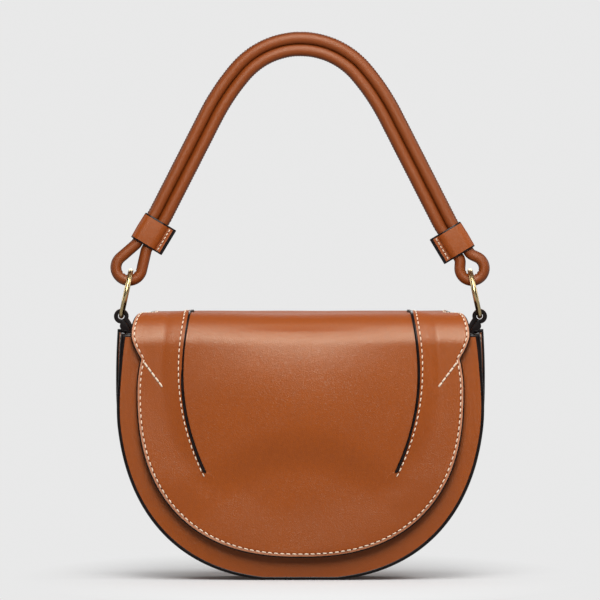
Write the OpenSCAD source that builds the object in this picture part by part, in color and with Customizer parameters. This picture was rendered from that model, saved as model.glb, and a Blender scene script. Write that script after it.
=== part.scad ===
// Half-moon saddle handbag with a darted front flap and a doubled cord strap.
// The bag stands on the ground at z = 0. X is its width, and the front faces -Y.

/* [Bag body] */
// Width of the bag across its upright sides
bag_w = 230.6; // [210:0.2:250]
// Depth of the bag over its front and back panels
bag_d = 70; // [60:1:80]
// Height at which the half-moon curve has become upright
curve_z = 125; // [120:1:128]
// How far the foot of the curve is flattened
sole_cut = 1; // [0.6:0.1:2]
// Squareness of the half-moon curve, where 2 is an ellipse
curve_power = 2.45; // [2.3:0.05:2.6]
// Height of the tops of the gusset
side_top_z = 154.4; // [153:0.2:155]
// How far the sides lean in at the top, on each side
top_draw = 0.9; // [0:0.1:2]
// How far the front panel is drawn in at the top, on each side
front_pull = 4.4; // [3:0.1:6]
// Height at which the front panel starts to draw in
pull_start_z = 95; // [85:1:105]
// Height of the front panel's top edge
front_top_z = 153.4; // [150:0.2:154]
// Height of the back panel's top edge
back_top_z = 155; // [154:0.2:155.4]

/* [Leather, boards and linings] */
// Thickness of the leather of the panels and the flap
leather_t = 1.6; // [1.4:0.1:1.8]
// Thickness of the gusset's leather
gusset_t = 1.8; // [1.4:0.1:2.2]
// Thickness of the stiffening boards
board_t = 1.2; // [1:0.1:1.4]
// Distance from the body's outline to the boards
board_inset = 6; // [5:0.5:8]
// Thickness of the linings
lining_t = 0.8; // [0.6:0.1:1]
// Gap between the gusset and its lining
lining_gap = 0.4; // [0.4:0.1:0.6]
// Distance from the body's outline to the front and back linings
lining_inset = 4; // [3.5:0.25:5]
// Height of the leather facings round the mouth
facing_h = 18; // [14:1:24]
// Height of the top of the gusset lining
gusset_lining_z = 136; // [130:1:137]

/* [Flap] */
// Width of the flap across its lower curve
flap_w = 204.6; // [196:0.2:208]
// Height at which the flap's lower curve is widest
flap_curve_z = 118; // [114:1:120]
// Height of the flap's lowest point
flap_low_z = 14; // [10:1:20]
// Squareness of the flap's lower curve
flap_power = 2.4; // [2.2:0.05:2.6]
// Width of the flap between the notches under its wings
notch_w = 199.6; // [194:0.2:202]
// Height of the notches
notch_z = 138; // [135:0.5:140]
// Width of the flap across its wings
wing_w = 212; // [206:0.5:213]
// Height at which the wings are widest
wing_z = 152; // [149:0.5:154]
// Height of the flap's top surface
roof_z = 166.5; // [165.5:0.5:170]
// Width of the flap's top at its front corner
roof_front_w = 201; // [196:0.5:202]
// Width of the flap's top between the tabs
roof_waist_w = 184; // [178:1:185]
// Width of the flap's top at its back corner
roof_back_w = 192; // [186:1:194]
// Outer radius of the flap's front corner
front_r = 20; // [18:0.5:21]
// Outer radius of the flap's back corner
back_r = 10.5; // [10:0.25:10.5]
// Distance from the front panel to the closed flap
flap_gap = 3.4; // [3.3:0.1:4.5]
// Thickness of the flap's lining
flap_lining_t = 0.6; // [0.5:0.1:0.8]
// Distance from the flap's outline to its lining
flap_lining_inset = 1.4; // [1:0.1:2]
// Height of the strip that sews the flap to the back panel
anchor_h = 36; // [30:1:44]
// Corner radius of that strip
anchor_r = 14; // [10:1:18]

/* [Flap darts] */
// Width between the darts' edges where it is greatest
dart_w = 148; // [142:0.5:152]
// Height at which that width lies
dart_mid_z = 128; // [124:1:132]
// Width between the darts' edges at the flap's top
dart_top_w = 139.2; // [134:0.5:144]
// Width between the darts' lower ends
dart_end_w = 119; // [114:0.5:124]
// Height of the darts' lower ends
dart_end_z = 67; // [60:1:74]
// Thickness of the lapped side leather at the dart's edge
lap_t = 1.5; // [1:0.1:1.8]
// Width over which the lap sinks back to the flap's surface
lap_reach = 20; // [14:1:22]

/* [Strap] */
// Height of the cords' meeting line at the crown
strap_top_z = 333.8; // [315:0.2:350]
// Diameter of the leather cord
cord_d = 7.2; // [6.6:0.1:7.6]
// Gap between the two runs of the cord
run_gap = 0.1; // [0.06:0.01:0.2]
// Thickness of the cord's leather cover
cover_t = 1.2; // [1:0.1:1.4]
// Radius of the shoulders
shoulder_r = 143; // [120:1:160]
// Steepness of the strap where the crown ends
crown_slope = 49.5; // [46:0.5:52]
// Steepness of the straight arms
arm_slope = 63; // [62:0.25:65]
// Steepness of the keepers and end loops
keeper_slope = 59; // [57:0.25:60]
// Radius of the bend above each keeper
keeper_bend_r = 60; // [50:1:80]
// Radius of the cord's centre line round the left end loop
left_loop_r = 8.1; // [7.8:0.1:8.6]
// Radius of the cord's centre line round the right end loop
right_loop_r = 7.6; // [7.5:0.1:8]
// Distance from the left keeper to the centre of its loop
left_loop_reach = 16; // [14:0.5:18]
// Distance from the right keeper to the centre of its loop
right_loop_reach = 10; // [9.5:0.25:11]

/* [Keepers] */
// Length of a keeper along the strap
keeper_l = 18; // [15:0.5:20]
// Thickness of a keeper's leather
keeper_t = 1.3; // [1.1:0.1:1.5]
// Width of a keeper's sewn flange
keeper_flange = 5; // [4:0.25:6]

/* [Rings and tabs] */
// Diameter of the rings' wire
wire_d = 3.2; // [2.8:0.1:3.4]
// Diameter of the rings across the centre of their wire
ring_d = 28.8; // [28.4:0.2:30]
// How far the rings lean in from upright
ring_lean = 12; // [8:0.5:12]
// Distance from the body's outline to the tabs' eyes
eye_inset = 3.3; // [2.5:0.1:4]
// Height of the tabs' eyes above the gusset's top
eye_rise = 9.3; // [9:0.1:10]
// Diameter of the hole through a tab's loop
eye_d = 4.8; // [4.8:0.1:5.2]
// Thickness of a tab's leather
tab_t = 2.2; // [2:0.1:2.4]
// Width of a tab along the depth of the bag
tab_w = 8; // [7:0.5:8]
// Length of a tab's tail below the gusset's top
tab_tail = 14; // [10:1:15]

/* [Magnetic snap] */
// Height of the snap
snap_z = 44; // [40:1:60]
// Diameter of the socket
socket_d = 18; // [16:0.5:20]
// Thickness of the socket
socket_t = 2; // [1.8:0.1:2.1]
// Wall of the socket's cup
socket_wall = 0.6; // [0.5:0.1:0.8]
// Diameter of the socket's centre hole
socket_hole_d = 6.4; // [6:0.1:7]
// Diameter of the stud's base
stud_base_d = 17; // [15:0.5:19]
// Thickness of the stud's base
stud_base_t = 1; // [0.8:0.1:1]
// Diameter of the stud's pin
stud_d = 5; // [4:0.1:5.4]
// Length of the stud's pin
stud_l = 1.4; // [1:0.1:1.6]
// Diameter of the backing washers
washer_d = 16; // [14:0.5:17]
// Thickness of the backing washers
washer_t = 0.4; // [0.3:0.05:0.5]
// Width of the snap's prongs
prong_w = 3; // [2.5:0.1:3.5]
// Thickness of the snap's prongs
prong_t = 0.6; // [0.5:0.05:0.8]
// Distance of the prongs from the snap's centre
prong_place = 4.6; // [4.4:0.1:5]

/* [Slip pocket] */
// Width of the pocket
pocket_w = 120; // [100:1:130]
// Height of the pocket's top edge
pocket_top_z = 112; // [100:1:118]
// Height of the pocket's lower edge
pocket_low_z = 42; // [38:1:60]
// Room inside the pocket
pocket_gap = 1.2; // [0.8:0.1:2]
// Width of the pocket's sewn border
pocket_hem = 6; // [4:0.5:9]
// Corner radius of the pocket
pocket_r = 12; // [8:1:16]

/* [Hidden] */

tan_leather = [0.66, 0.33, 0.14];
edge_black = [0.10, 0.08, 0.08];
lining_tan = [0.62, 0.47, 0.32];
board_grey = [0.60, 0.57, 0.52];
brass = [0.80, 0.63, 0.30];
steel = [0.55, 0.55, 0.56];
rope_white = [0.85, 0.82, 0.75];

// Facets of true circles
round_fn = 64;
// Sides of the cord
cord_sides = 12;
// Steps along a quarter of a half-moon curve
curve_steps = 20;
// Steps along a short bend
bend_steps = 8;
// Overrun of cuts
over = 1;
// Gap between faces that part when the flap opens
part_gap = 0.3;
// Clearance of a piece that seats on a curved neighbour
seat = 0.2;
// Power with which the front panel draws in towards its top
pull_power = 1.5;

half_d = bag_d / 2;
eye_x = bag_w / 2 - eye_inset;
eye_z = side_top_z + eye_rise;
panel_in = half_d - leather_t;
board_in = panel_in - board_t;
lining_in = board_in - lining_t;

// Where the closed flap's outer face stands
flap_out = half_d + flap_gap + flap_lining_t + leather_t;
flap_in = flap_out - leather_t;
flap_lining_in = flap_in - flap_lining_t;
anchor_out = half_d + leather_t;
hinge_y = -(flap_out - front_r);
roof_back_y = anchor_out - back_r;
back_cut_z = roof_z - back_r;

// Share of the drawing in of the front at a depth y
function pull_share(y) = (half_d - y) / bag_d;

// How far the outline is drawn in at height z and depth y
function pull(z, y) = z <= pull_start_z ? 0
    : front_pull * pull_share(y) * pow((z - pull_start_z) / (side_top_z - pull_start_z), pull_power);

// Point of the half-moon curve, from 0 at the foot to 90 at the side
function moon(angle, half_w, half_h, centre_z, power) =
    [half_w * pow(sin(angle), 2 / power), centre_z - half_h * pow(cos(angle), 2 / power)];

// Half-width of the body's outline above the curve
function side_x(z, inset) = bag_w / 2 - inset - top_draw * pow((z - curve_z) / (side_top_z - curve_z), 2);

// Right half of the body's outline, from the foot up, drawn in for the depth y
function half_rim(inset, y, top_z) = [
    for (step = [0:curve_steps])
        let (point = moon(90 * step / curve_steps, bag_w / 2 - inset, curve_z + sole_cut - inset,
                          curve_z, curve_power),
             z = max(point[1], inset))
        [point[0] - pull(z, y), z],
    for (step = [1:bend_steps / 2])
        let (z = curve_z + (top_z - curve_z) * step / (bend_steps / 2))
        [side_x(z, inset) - pull(z, y), z]
];

function mirrored(points) = [for (i = [len(points) - 1:-1:0]) [-points[i][0], points[i][1]]];

// Whole outline, from the left top round the foot to the right top
function rim(inset, y, top_z) =
    let (right = half_rim(inset, y, top_z))
    concat(mirrored(right), [for (i = [1:len(right) - 1]) right[i]]);

// Turns a shape that was drawn in the XZ plane upright, from depth y0 back to y1
module stand(y0, y1) {
    translate([0, y1, 0]) rotate([90, 0, 0]) linear_extrude(height = y1 - y0) children();
}

// Joins equal rings of points into one closed solid, with the diagonals of opposite sides alike
module skin(rings) {
    count = len(rings);
    size = len(rings[0]);
    points = [for (ring = rings) each ring];
    sides = [for (i = [0:count - 2], j = [0:size - 1])
        let (a = i * size + j, b = i * size + (j + 1) % size, c = a + size, d = b + size)
        each j < size / 2 ? [[a, b, d], [a, d, c]] : [[a, b, c], [b, d, c]]];
    ends = [for (j = [1:size - 2])
        each [[0, j + 1, j], [(count - 1) * size, (count - 1) * size + j, (count - 1) * size + j + 1]]];
    polyhedron(points, concat(sides, ends));
}

function at_depth(p, y) = [p[0], y, p[1]];

// Band of leather between the panels, from depth y0 to y1
module band(inset, thick, y0, y1, top_z) {
    outer_front = rim(inset, y0, top_z);
    outer_back = rim(inset, y1, top_z);
    inner_front = rim(inset + thick, y0, top_z);
    inner_back = rim(inset + thick, y1, top_z);
    skin([for (i = [0:len(outer_front) - 1])
        [at_depth(outer_front[i], y0), at_depth(inner_front[i], y0),
         at_depth(inner_back[i], y1), at_depth(outer_back[i], y1)]]);
}

// Cross-section of the snap's two prongs, grown by extra on every side
module prongs(extra) {
    for (side = [-1, 1])
        translate([side * prong_place, snap_z])
            square([prong_t + 2 * extra, prong_w + 2 * extra], center = true);
}

module snap_disc(d) { translate([0, snap_z]) circle(d = d, $fn = round_fn); }

module front_panel() {
    color(tan_leather) stand(-half_d, -panel_in) difference() {
        polygon(rim(0, -half_d, front_top_z));
        prongs(seat);
    }
}

module back_panel() {
    color(tan_leather) stand(panel_in, half_d) polygon(rim(0, half_d, back_top_z));
}

module gusset() {
    color(tan_leather) band(0, gusset_t, -panel_in, panel_in, side_top_z);
}

module front_board() {
    color(board_grey) stand(-panel_in, -board_in) difference() {
        polygon(rim(board_inset, -half_d, front_top_z - board_inset));
        snap_disc(washer_d + 2 * over);
    }
}

module back_board() {
    color(board_grey) stand(board_in, panel_in) polygon(rim(board_inset, -half_d, back_top_z - board_inset));
}

module front_lining() {
    color(lining_tan) stand(-board_in, -lining_in)
        polygon(rim(lining_inset, -half_d, front_top_z - facing_h));
}

module back_lining() {
    color(lining_tan) stand(lining_in, board_in)
        polygon(rim(lining_inset, -half_d, back_top_z - facing_h));
}

module gusset_lining() {
    color(lining_tan) band(gusset_t + lining_gap, lining_t, -lining_in, lining_in, gusset_lining_z);
}

// Leather strip along the mouth, above a lining
module facing(y0, y1, top_z) {
    color(tan_leather) stand(y0, y1) intersection() {
        polygon(rim(lining_inset, -half_d, top_z));
        translate([-bag_w / 2, top_z - facing_h]) square([bag_w, facing_h]);
    }
}

module front_facing() { facing(-board_in, -lining_in, front_top_z); }

module back_facing() { facing(lining_in, board_in, back_top_z); }

// Outline of the pocket, as large as its border or as its room inside
module pocket_shape(inset, up) {
    translate([-pocket_w / 2 + inset, pocket_low_z + inset])
        rounded(pocket_w - 2 * inset, pocket_top_z - pocket_low_z - inset + up, pocket_r - inset / 2);
}

// Upright rectangle with rounded lower corners
module rounded(w, h, r) {
    translate([r, 0]) square([w - 2 * r, h]);
    translate([0, r]) square([w, h - r]);
    for (x = [r, w - r]) translate([x, r]) circle(r = r, $fn = round_fn);
}

module slip_pocket() {
    face_y = lining_in - pocket_gap;
    color(lining_tan) {
        stand(face_y - lining_t, face_y) pocket_shape(0, 0);
        stand(face_y, lining_in) difference() {
            pocket_shape(0, 0);
            pocket_shape(pocket_hem, over);
        }
    }
}

module snap_socket() {
    face_y = -half_d - socket_t;
    color(brass) {
        stand(face_y, face_y + socket_wall) difference() {
            snap_disc(socket_d);
            snap_disc(socket_hole_d);
        }
        stand(face_y + socket_wall, -half_d) difference() {
            snap_disc(socket_d);
            snap_disc(socket_d - 2 * socket_wall);
        }
        stand(-half_d, -panel_in + washer_t) prongs(0);
        stand(-half_d - socket_wall / 2, -half_d) snap_disc(socket_d);
    }
}

module snap_magnet() {
    color(steel) stand(-half_d - socket_t + socket_wall, -half_d - socket_wall / 2) difference() {
        snap_disc(socket_d - 2 * socket_wall - seat);
        snap_disc(socket_hole_d);
    }
}

module snap_socket_washer() {
    color(steel) stand(-panel_in, -panel_in + washer_t) difference() {
        snap_disc(washer_d);
        prongs(seat / 2);
    }
}

// Loop of a tab, folded round its eye, with its tail inside the gusset
module tab() {
    tail_x = side_x(side_top_z, gusset_t) - pull(side_top_z, -tab_w / 2) - seat;
    wall_r = (eye_d + tab_t) / 2;
    color(edge_black) difference() {
        union() {
            stand(-tab_w / 2, tab_w / 2) translate([eye_x, eye_z]) circle(d = eye_d + 2 * tab_t, $fn = round_fn);
            stand(-tab_w / 2, tab_w / 2)
                polygon([[eye_x - wall_r, eye_z], [eye_x + wall_r, eye_z], [tail_x, side_top_z],
                    [tail_x, side_top_z - tab_tail], [tail_x - 2 * tab_t, side_top_z - tab_tail],
                    [tail_x - 2 * tab_t, side_top_z]]);
        }
        stand(-tab_w, tab_w) translate([eye_x, eye_z]) circle(d = eye_d, $fn = round_fn);
    }
}

module tab_left() { mirror([1, 0, 0]) tab(); }

module tab_right() { tab(); }

module flap_anchor() {
    low_z = back_cut_z - anchor_h;
    color(tan_leather) stand(half_d, anchor_out)
        translate([-roof_back_w / 2, low_z]) rounded(roof_back_w, anchor_h - part_gap, anchor_r);
}

function bezier(a, b, c, steps) = [for (i = [0:steps]) let (t = i / steps)
    (1 - t) * (1 - t) * a + 2 * t * (1 - t) * b + t * t * c];

// How far out the wing's edge bends, as shares of its width and height
wing_bend_shares = [0.8, 0.55];

// Right half of the flap's front outline, from its lowest point up
function half_flap(inset) =
    let (half_w = flap_w / 2 - inset,
         notch = [notch_w / 2 - inset, notch_z],
         wing = [wing_w / 2 - inset, wing_z],
         top = [roof_front_w / 2 - inset, roof_z],
         notch_bend = [half_w, (flap_curve_z + notch_z) / 2],
         wing_bend = [notch[0] + (wing[0] - notch[0]) * wing_bend_shares[0],
                      notch_z + (wing_z - notch_z) * wing_bend_shares[1]])
    concat(
        [for (step = [0:curve_steps]) moon(90 * step / curve_steps, half_w,
            flap_curve_z - flap_low_z - inset, flap_curve_z, flap_power)],
        [for (i = [1:bend_steps]) bezier([half_w, flap_curve_z], notch_bend, notch, bend_steps)[i]],
        [for (i = [1:bend_steps]) bezier(notch, wing_bend, wing, bend_steps)[i]],
        [for (i = [1:bend_steps]) let (angle = 90 * i / bend_steps)
            [top[0] + (wing[0] - top[0]) * cos(angle), wing[1] + (top[1] - wing[1]) * sin(angle)]],
        [[top[0], roof_z + over]]);

function flap_outline(inset) =
    let (right = half_flap(inset))
    concat(mirrored(right), [for (i = [1:len(right) - 1]) right[i]]);

// Right edge of the flap's top, from the front corner to the back
function half_roof(inset) =
    let (front = roof_front_w / 2 - inset, waist = roof_waist_w / 2 - inset,
         back = roof_back_w / 2 - inset, clear_y = ring_d / 4)
    concat(
        bezier([front, hinge_y], [waist, (hinge_y - clear_y) / 2], [waist, -clear_y / 2], bend_steps),
        bezier([waist, roof_back_y - clear_y], [waist, roof_back_y], [back, anchor_out + over], bend_steps));

// Quarter bend of a sheet in the YZ plane, drawn as [y, z], about a centre
module bend(y, z, r, thick, from) {
    translate([y, z]) rotate(from) intersection() {
        difference() {
            circle(r = r, $fn = round_fn);
            circle(r = r - thick, $fn = round_fn);
        }
        square(r);
    }
}

// Draws a YZ profile out along the width
module along_x(w) {
    rotate([90, 0, 90]) linear_extrude(height = w, center = true) children();
}

// Profile of the flap's front sheet, with its outer face in from the leather's by depth
module front_profile(depth, thick) {
    bend(hinge_y, roof_z - front_r, front_r - depth, thick, 90);
    translate([-flap_out + depth, 0]) square([thick, roof_z - front_r]);
}

// Profile of the flap's top sheet
module roof_profile(depth, thick) {
    bend(roof_back_y, back_cut_z, back_r - depth, thick, 0);
    translate([hinge_y, roof_z - depth - thick]) square([roof_back_y - hinge_y, thick]);
}

module front_sheet(depth, thick, inset) {
    intersection() {
        along_x(bag_w) front_profile(depth, thick);
        stand(-flap_out - over, hinge_y - part_gap / 2) polygon(flap_outline(inset));
    }
}

module roof_sheet(depth, thick, inset) {
    right = half_roof(inset);
    intersection() {
        along_x(bag_w) difference() {
            roof_profile(depth, thick);
            translate([hinge_y - over, 0]) square([over + part_gap / 2, roof_z + over]);
        }
        translate([0, 0, back_cut_z]) linear_extrude(height = back_r + over)
            polygon(concat(right, [for (i = [len(right) - 1:-1:0]) [-right[i][0], right[i][1]]]));
    }
}

// Half-width of the dart's edge at height z
function dart_x(z) = z > dart_mid_z
    ? dart_w / 2 - (dart_w - dart_top_w) / 2 * pow((z - dart_mid_z) / (roof_z - dart_mid_z), 2)
    : dart_w / 2 - (dart_w - dart_end_w) / 2 * pow((dart_mid_z - z) / (dart_mid_z - dart_end_z), 2);

// Point h above the flap's front sheet, at distance s down from its hinge line
front_arc = front_r * PI / 2;
function front_point(x, s, h) = s < front_arc
    ? let (angle = 90 * s / front_arc)
      [x, hinge_y - (front_r + h) * sin(angle), roof_z - front_r + (front_r + h) * cos(angle)]
    : [x, -flap_out - h, roof_z - front_r - (s - front_arc)];

function front_z(s) = front_point(0, s, 0)[2];

// How far the lap is sunk into the sheet under it
lap_sink = leather_t / 4;
// Share of the lap's length over which it fades out at the dart's lower end
fade_share = 0.3;

// Cross-section of the lap at distance s: its raised edge, its outer end and their undersides
function lap_ring(s, total) =
    let (fade = min(1, (total - s) / (total * fade_share)),
         h = lap_t * fade - lap_sink / 2 * (1 - fade),
         reach = lap_reach * (fade + 1) / 2,
         x = dart_x(front_z(s)))
    [front_point(x, s, h), front_point(x, s, -lap_sink), front_point(x + reach, s, -lap_sink),
     front_point(x + reach / 2, s, h / 2)];

// Side leather lapped over the centre along one dart of the front
module front_lap() {
    total = front_arc + roof_z - front_r - dart_end_z;
    start = part_gap;
    skin([for (i = [bend_steps * 3:-1:0]) lap_ring(start + (total - start) * i / (bend_steps * 3), total)]);
}

// The lap's stretch on the flap's top, which sinks away towards the back
module roof_lap() {
    reach_y = roof_back_y - hinge_y;
    start = part_gap;
    skin([for (i = [0:bend_steps])
        let (share = i / bend_steps, y = hinge_y + start + (reach_y - start) * share,
             h = lap_t * (1 - share) - lap_sink / 2 * share, x = dart_top_w / 2 - (dart_w - dart_top_w) / 2 * share)
        [[x, y, roof_z + h], [x, y, roof_z - lap_sink], [x + lap_reach, y, roof_z - lap_sink],
         [x + lap_reach / 2, y, roof_z + h / 2]]]);
}

module flap_roof() {
    color(tan_leather) {
        roof_sheet(0, leather_t, 0);
        for (side = [0, 1]) mirror([side, 0, 0]) roof_lap();
    }
}

module flap_roof_lining() {
    color(lining_tan) roof_sheet(leather_t, flap_lining_t, flap_lining_inset);
}

module flap_front() {
    color(tan_leather) {
        difference() {
            front_sheet(0, leather_t, 0);
            stand(-flap_in - washer_t, -flap_in + over) snap_disc(washer_d + 2 * seat);
        }
        for (side = [0, 1]) mirror([side, 0, 0]) front_lap();
    }
}

module flap_front_lining() {
    color(lining_tan) difference() {
        front_sheet(leather_t, flap_lining_t, flap_lining_inset);
        stand(-flap_in - over, -flap_lining_in + over) prongs(seat / 2);
    }
}

module snap_stud() {
    base_y = -flap_lining_in + stud_base_t;
    color(brass) {
        stand(-flap_lining_in, base_y) snap_disc(stud_base_d);
        stand(base_y, base_y + stud_l) snap_disc(stud_d);
        stand(-flap_in - washer_t, -flap_lining_in) prongs(0);
    }
}

module snap_stud_washer() {
    color(steel) stand(-flap_in - washer_t, -flap_in) difference() {
        snap_disc(washer_d);
        prongs(seat / 2);
    }
}

// Centre of the right ring
ring_x = eye_x - ring_d / 2 * sin(ring_lean);
ring_z = eye_z + ring_d / 2 * cos(ring_lean);

module ring() {
    color(brass) translate([ring_x, 0, ring_z]) rotate([0, 90 - ring_lean, 0])
        rotate_extrude($fn = round_fn) translate([ring_d / 2, 0]) circle(d = wire_d, $fn = round_fn);
}

module ring_left() { mirror([1, 0, 0]) ring(); }

module ring_right() { ring(); }

// Clearance of the end loops under the rings' wire
loop_seat = 0.6;
// How far in from the eye the loops' centres lie, as a share of the ring's lean
loop_shift_share = 1.6;
cord_r = cord_d / 2;
run_off = cord_r + run_gap / 2;
loop_x = eye_x - ring_d / 2 * sin(ring_lean) * loop_shift_share;
// Height of the cord's centre line under the ring's upper wire
loop_low_z = eye_z + ring_d * cos(ring_lean) - wire_d / 2 - loop_seat - cord_r;

crown_dir = [cos(crown_slope), -sin(crown_slope)];
crown_out = [sin(crown_slope), cos(crown_slope)];
arm_dir = [cos(arm_slope), -sin(arm_slope)];
arm_out = [sin(arm_slope), cos(arm_slope)];
keeper_dir = [cos(keeper_slope), -sin(keeper_slope)];
keeper_out = [sin(keeper_slope), cos(keeper_slope)];

// Straight run of cord in a keeper, a little longer than the keeper
keeper_run = keeper_l + 2 * over;

// Crown radius and arm length that lead the strap from its crown to an end loop
function strap_fit(loop_r, reach) =
    let (end = [loop_x, loop_low_z + loop_r],
         rest = end - (keeper_run + reach) * keeper_dir - keeper_bend_r * (arm_out - keeper_out)
             - shoulder_r * (arm_out - crown_out) - [0, strap_top_z],
         down = [rest[0], -rest[1]],
         det = crown_out[0] * arm_out[0] - arm_dir[0] * (1 - crown_out[1]))
    [(down[0] * arm_out[0] - down[1] * arm_dir[0]) / det,
     (down[1] * crown_out[0] - down[0] * (1 - crown_out[1])) / det];

function unit(angle) = [cos(angle), sin(angle)];
function mirror_x(p) = [-p[0], p[1]];
function reversed(list) = [for (i = [len(list) - 1:-1:0]) list[i]];
function flipped(frames) = [for (f = reversed(frames)) [mirror_x(f[0]), mirror_x(f[1])]];

// Frames along an arc, each a point and the direction across the cord
function arc_frames(centre, radius, from, to, steps, side) = [
    for (i = [0:steps]) let (out = unit(from + (to - from) * i / steps)) [centre + radius * out, side * out]];

// One run of the cord from the crown down into a keeper, outer for side 1 and inner for side -1
function arm_frames(fit, side) =
    let (off = side * run_off,
         crown_c = [0, strap_top_z - fit[0]],
         shoulder_c = crown_c + (fit[0] - shoulder_r) * crown_out,
         bend_c = shoulder_c + (shoulder_r + keeper_bend_r) * arm_out + fit[1] * arm_dir,
         middle = bend_c - (keeper_bend_r - off) * keeper_out + keeper_run / 2 * keeper_dir)
    concat(
        arc_frames(crown_c, fit[0] + off, 90, 90 - crown_slope, bend_steps, side),
        tail(arc_frames(shoulder_c, shoulder_r + off, 90 - crown_slope, 90 - arm_slope, bend_steps / 2, side)),
        arc_frames(bend_c, keeper_bend_r - off, 270 - arm_slope, 270 - keeper_slope, 2, -side),
        [[middle, side * keeper_out]]);

// The end loop, from the outer run at a keeper's mouth round to the inner run
function loop_frames(loop_r, reach) =
    let (flare = (reach * reach + run_off * run_off - loop_r * loop_r) / (2 * (loop_r - run_off)),
         angle = atan2(reach, run_off + flare),
         centre = [loop_x, loop_low_z + loop_r],
         mouth = centre - reach * keeper_dir,
         across = (run_off + flare) * keeper_out,
         inward = 90 - keeper_slope)
    concat(
        arc_frames(mouth + across, flare, inward + 180, inward + 180 + angle * (1 - 1 / bend_steps),
                   bend_steps / 2, -1),
        arc_frames(centre, loop_r, inward + angle, inward - 180 - angle, bend_steps * 2, 1),
        arc_frames(mouth - across, flare, inward - angle * (1 - 1 / bend_steps), inward,
                   bend_steps / 2, -1));

// The whole cord: its ends meet inside the left keeper
function cord_frames() =
    let (left = strap_fit(left_loop_r, left_loop_reach),
         right = strap_fit(right_loop_r, right_loop_reach),
         left_outer = arm_frames(left, 1),
         last = left_outer[len(left_outer) - 1],
         butt = [last[0] + seat * keeper_dir, last[1]])
    concat(
        flipped(left_outer),
        tail(arm_frames(right, 1)),
        loop_frames(right_loop_r, right_loop_reach),
        reversed(arm_frames(right, -1)),
        flipped(concat([butt], loop_frames(left_loop_r, left_loop_reach),
                       reversed(tail(arm_frames(left, -1))))));

function tail(list) = [for (i = [1:len(list) - 1]) list[i]];

// Ring of points round the cord at one frame
function cord_ring(frame, r) = [for (i = [0:cord_sides - 1]) let (turn = 360 * i / cord_sides)
    [frame[0][0] + r * cos(turn) * frame[1][0], r * sin(turn), frame[0][1] + r * cos(turn) * frame[1][1]]];

module strap_core() {
    color(rope_white) skin([for (frame = cord_frames()) cord_ring(frame, cord_r - cover_t - seat)]);
}

// Tube of leather, open at its two ends
module strap_cover() {
    frames = cord_frames();
    outer = [for (frame = frames) cord_ring(frame, cord_r)];
    inner = [for (frame = frames) cord_ring(frame, cord_r - cover_t)];
    count = len(frames);
    points = [for (ring = concat(outer, inner)) each ring];
    size = cord_sides;
    sides = [for (i = [0:count - 2], j = [0:size - 1])
        let (a = i * size + j, b = i * size + (j + 1) % size, c = a + size, d = b + size, deep = count * size)
        each [[a, b, d], [a, d, c], [deep + b, deep + a, deep + d], [deep + a, deep + c, deep + d]]];
    ends = [for (j = [0:size - 1])
        let (k = (j + 1) % size, last = (count - 1) * size, deep = count * size)
        each [[k, j, deep + j], [k, deep + j, deep + k],
            [last + j, last + k, deep + last + j], [last + k, deep + last + k, deep + last + j]]];
    color(tan_leather) polyhedron(points, concat(sides, ends));
}

// Stadium round both runs of the cord
module keeper_hole(extra) {
    for (side = [-1, 1]) translate([side * run_off, 0]) circle(r = cord_r + seat + extra, $fn = round_fn);
    square([2 * run_off, 2 * (cord_r + seat + extra)], center = true);
}

// Leather sleeve round the strap, with its ends sewn together in a flange
module keeper(loop_r, reach) {
    start = [loop_x, loop_low_z + loop_r] - (reach + keeper_run - over) * keeper_dir;
    color(tan_leather) rotate([90, 0, 0]) translate(start) rotate(-keeper_slope) rotate([90, 0, 90])
        linear_extrude(height = keeper_l) difference() {
            union() {
                keeper_hole(keeper_t);
                translate([-run_off - cord_r - keeper_flange, -keeper_t])
                    square([keeper_flange + cord_r, 2 * keeper_t]);
            }
            keeper_hole(0);
        }
}

module keeper_left() { mirror([1, 0, 0]) keeper(left_loop_r, left_loop_reach); }

module keeper_right() { keeper(right_loop_r, right_loop_reach); }

front_panel();
back_panel();
gusset();
front_board();
back_board();
front_lining();
back_lining();
gusset_lining();
front_facing();
back_facing();
slip_pocket();
snap_socket();
snap_magnet();
snap_socket_washer();
tab_left();
tab_right();
flap_anchor();
flap_roof();
flap_roof_lining();
flap_front();
flap_front_lining();
snap_stud();
snap_stud_washer();
ring_left();
ring_right();
strap_cover();
strap_core();
keeper_left();
keeper_right();
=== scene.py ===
"""Looks of a half-moon saddle handbag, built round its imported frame.

The geometry is in millimetres, and the lamps, the camera and the properties are in metres.
"""

import math
from bisect import bisect_right
from functools import cache

import bmesh
import bpy
from bpy.props import FloatProperty, FloatVectorProperty, PointerProperty
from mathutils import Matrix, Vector, noise


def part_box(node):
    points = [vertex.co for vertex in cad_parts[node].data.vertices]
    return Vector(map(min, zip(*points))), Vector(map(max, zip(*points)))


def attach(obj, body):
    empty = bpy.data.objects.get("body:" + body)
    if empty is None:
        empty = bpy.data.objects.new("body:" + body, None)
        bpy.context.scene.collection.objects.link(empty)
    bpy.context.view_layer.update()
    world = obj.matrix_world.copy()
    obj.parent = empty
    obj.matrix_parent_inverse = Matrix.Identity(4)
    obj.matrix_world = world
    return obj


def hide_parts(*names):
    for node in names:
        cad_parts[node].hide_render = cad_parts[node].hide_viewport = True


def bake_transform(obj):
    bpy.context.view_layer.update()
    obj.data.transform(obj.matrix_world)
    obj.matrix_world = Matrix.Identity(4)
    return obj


bl_info = {
    "name": "Saddle Handbag",
    "version": (1, 0, 0),
    "blender": (4, 5, 0),
    "location": "View3D > Sidebar > Handbag",
    "description": "Builds the leather, thread, metal and stage of a half-moon saddle handbag",
    "category": "Add Mesh",
}

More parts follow.
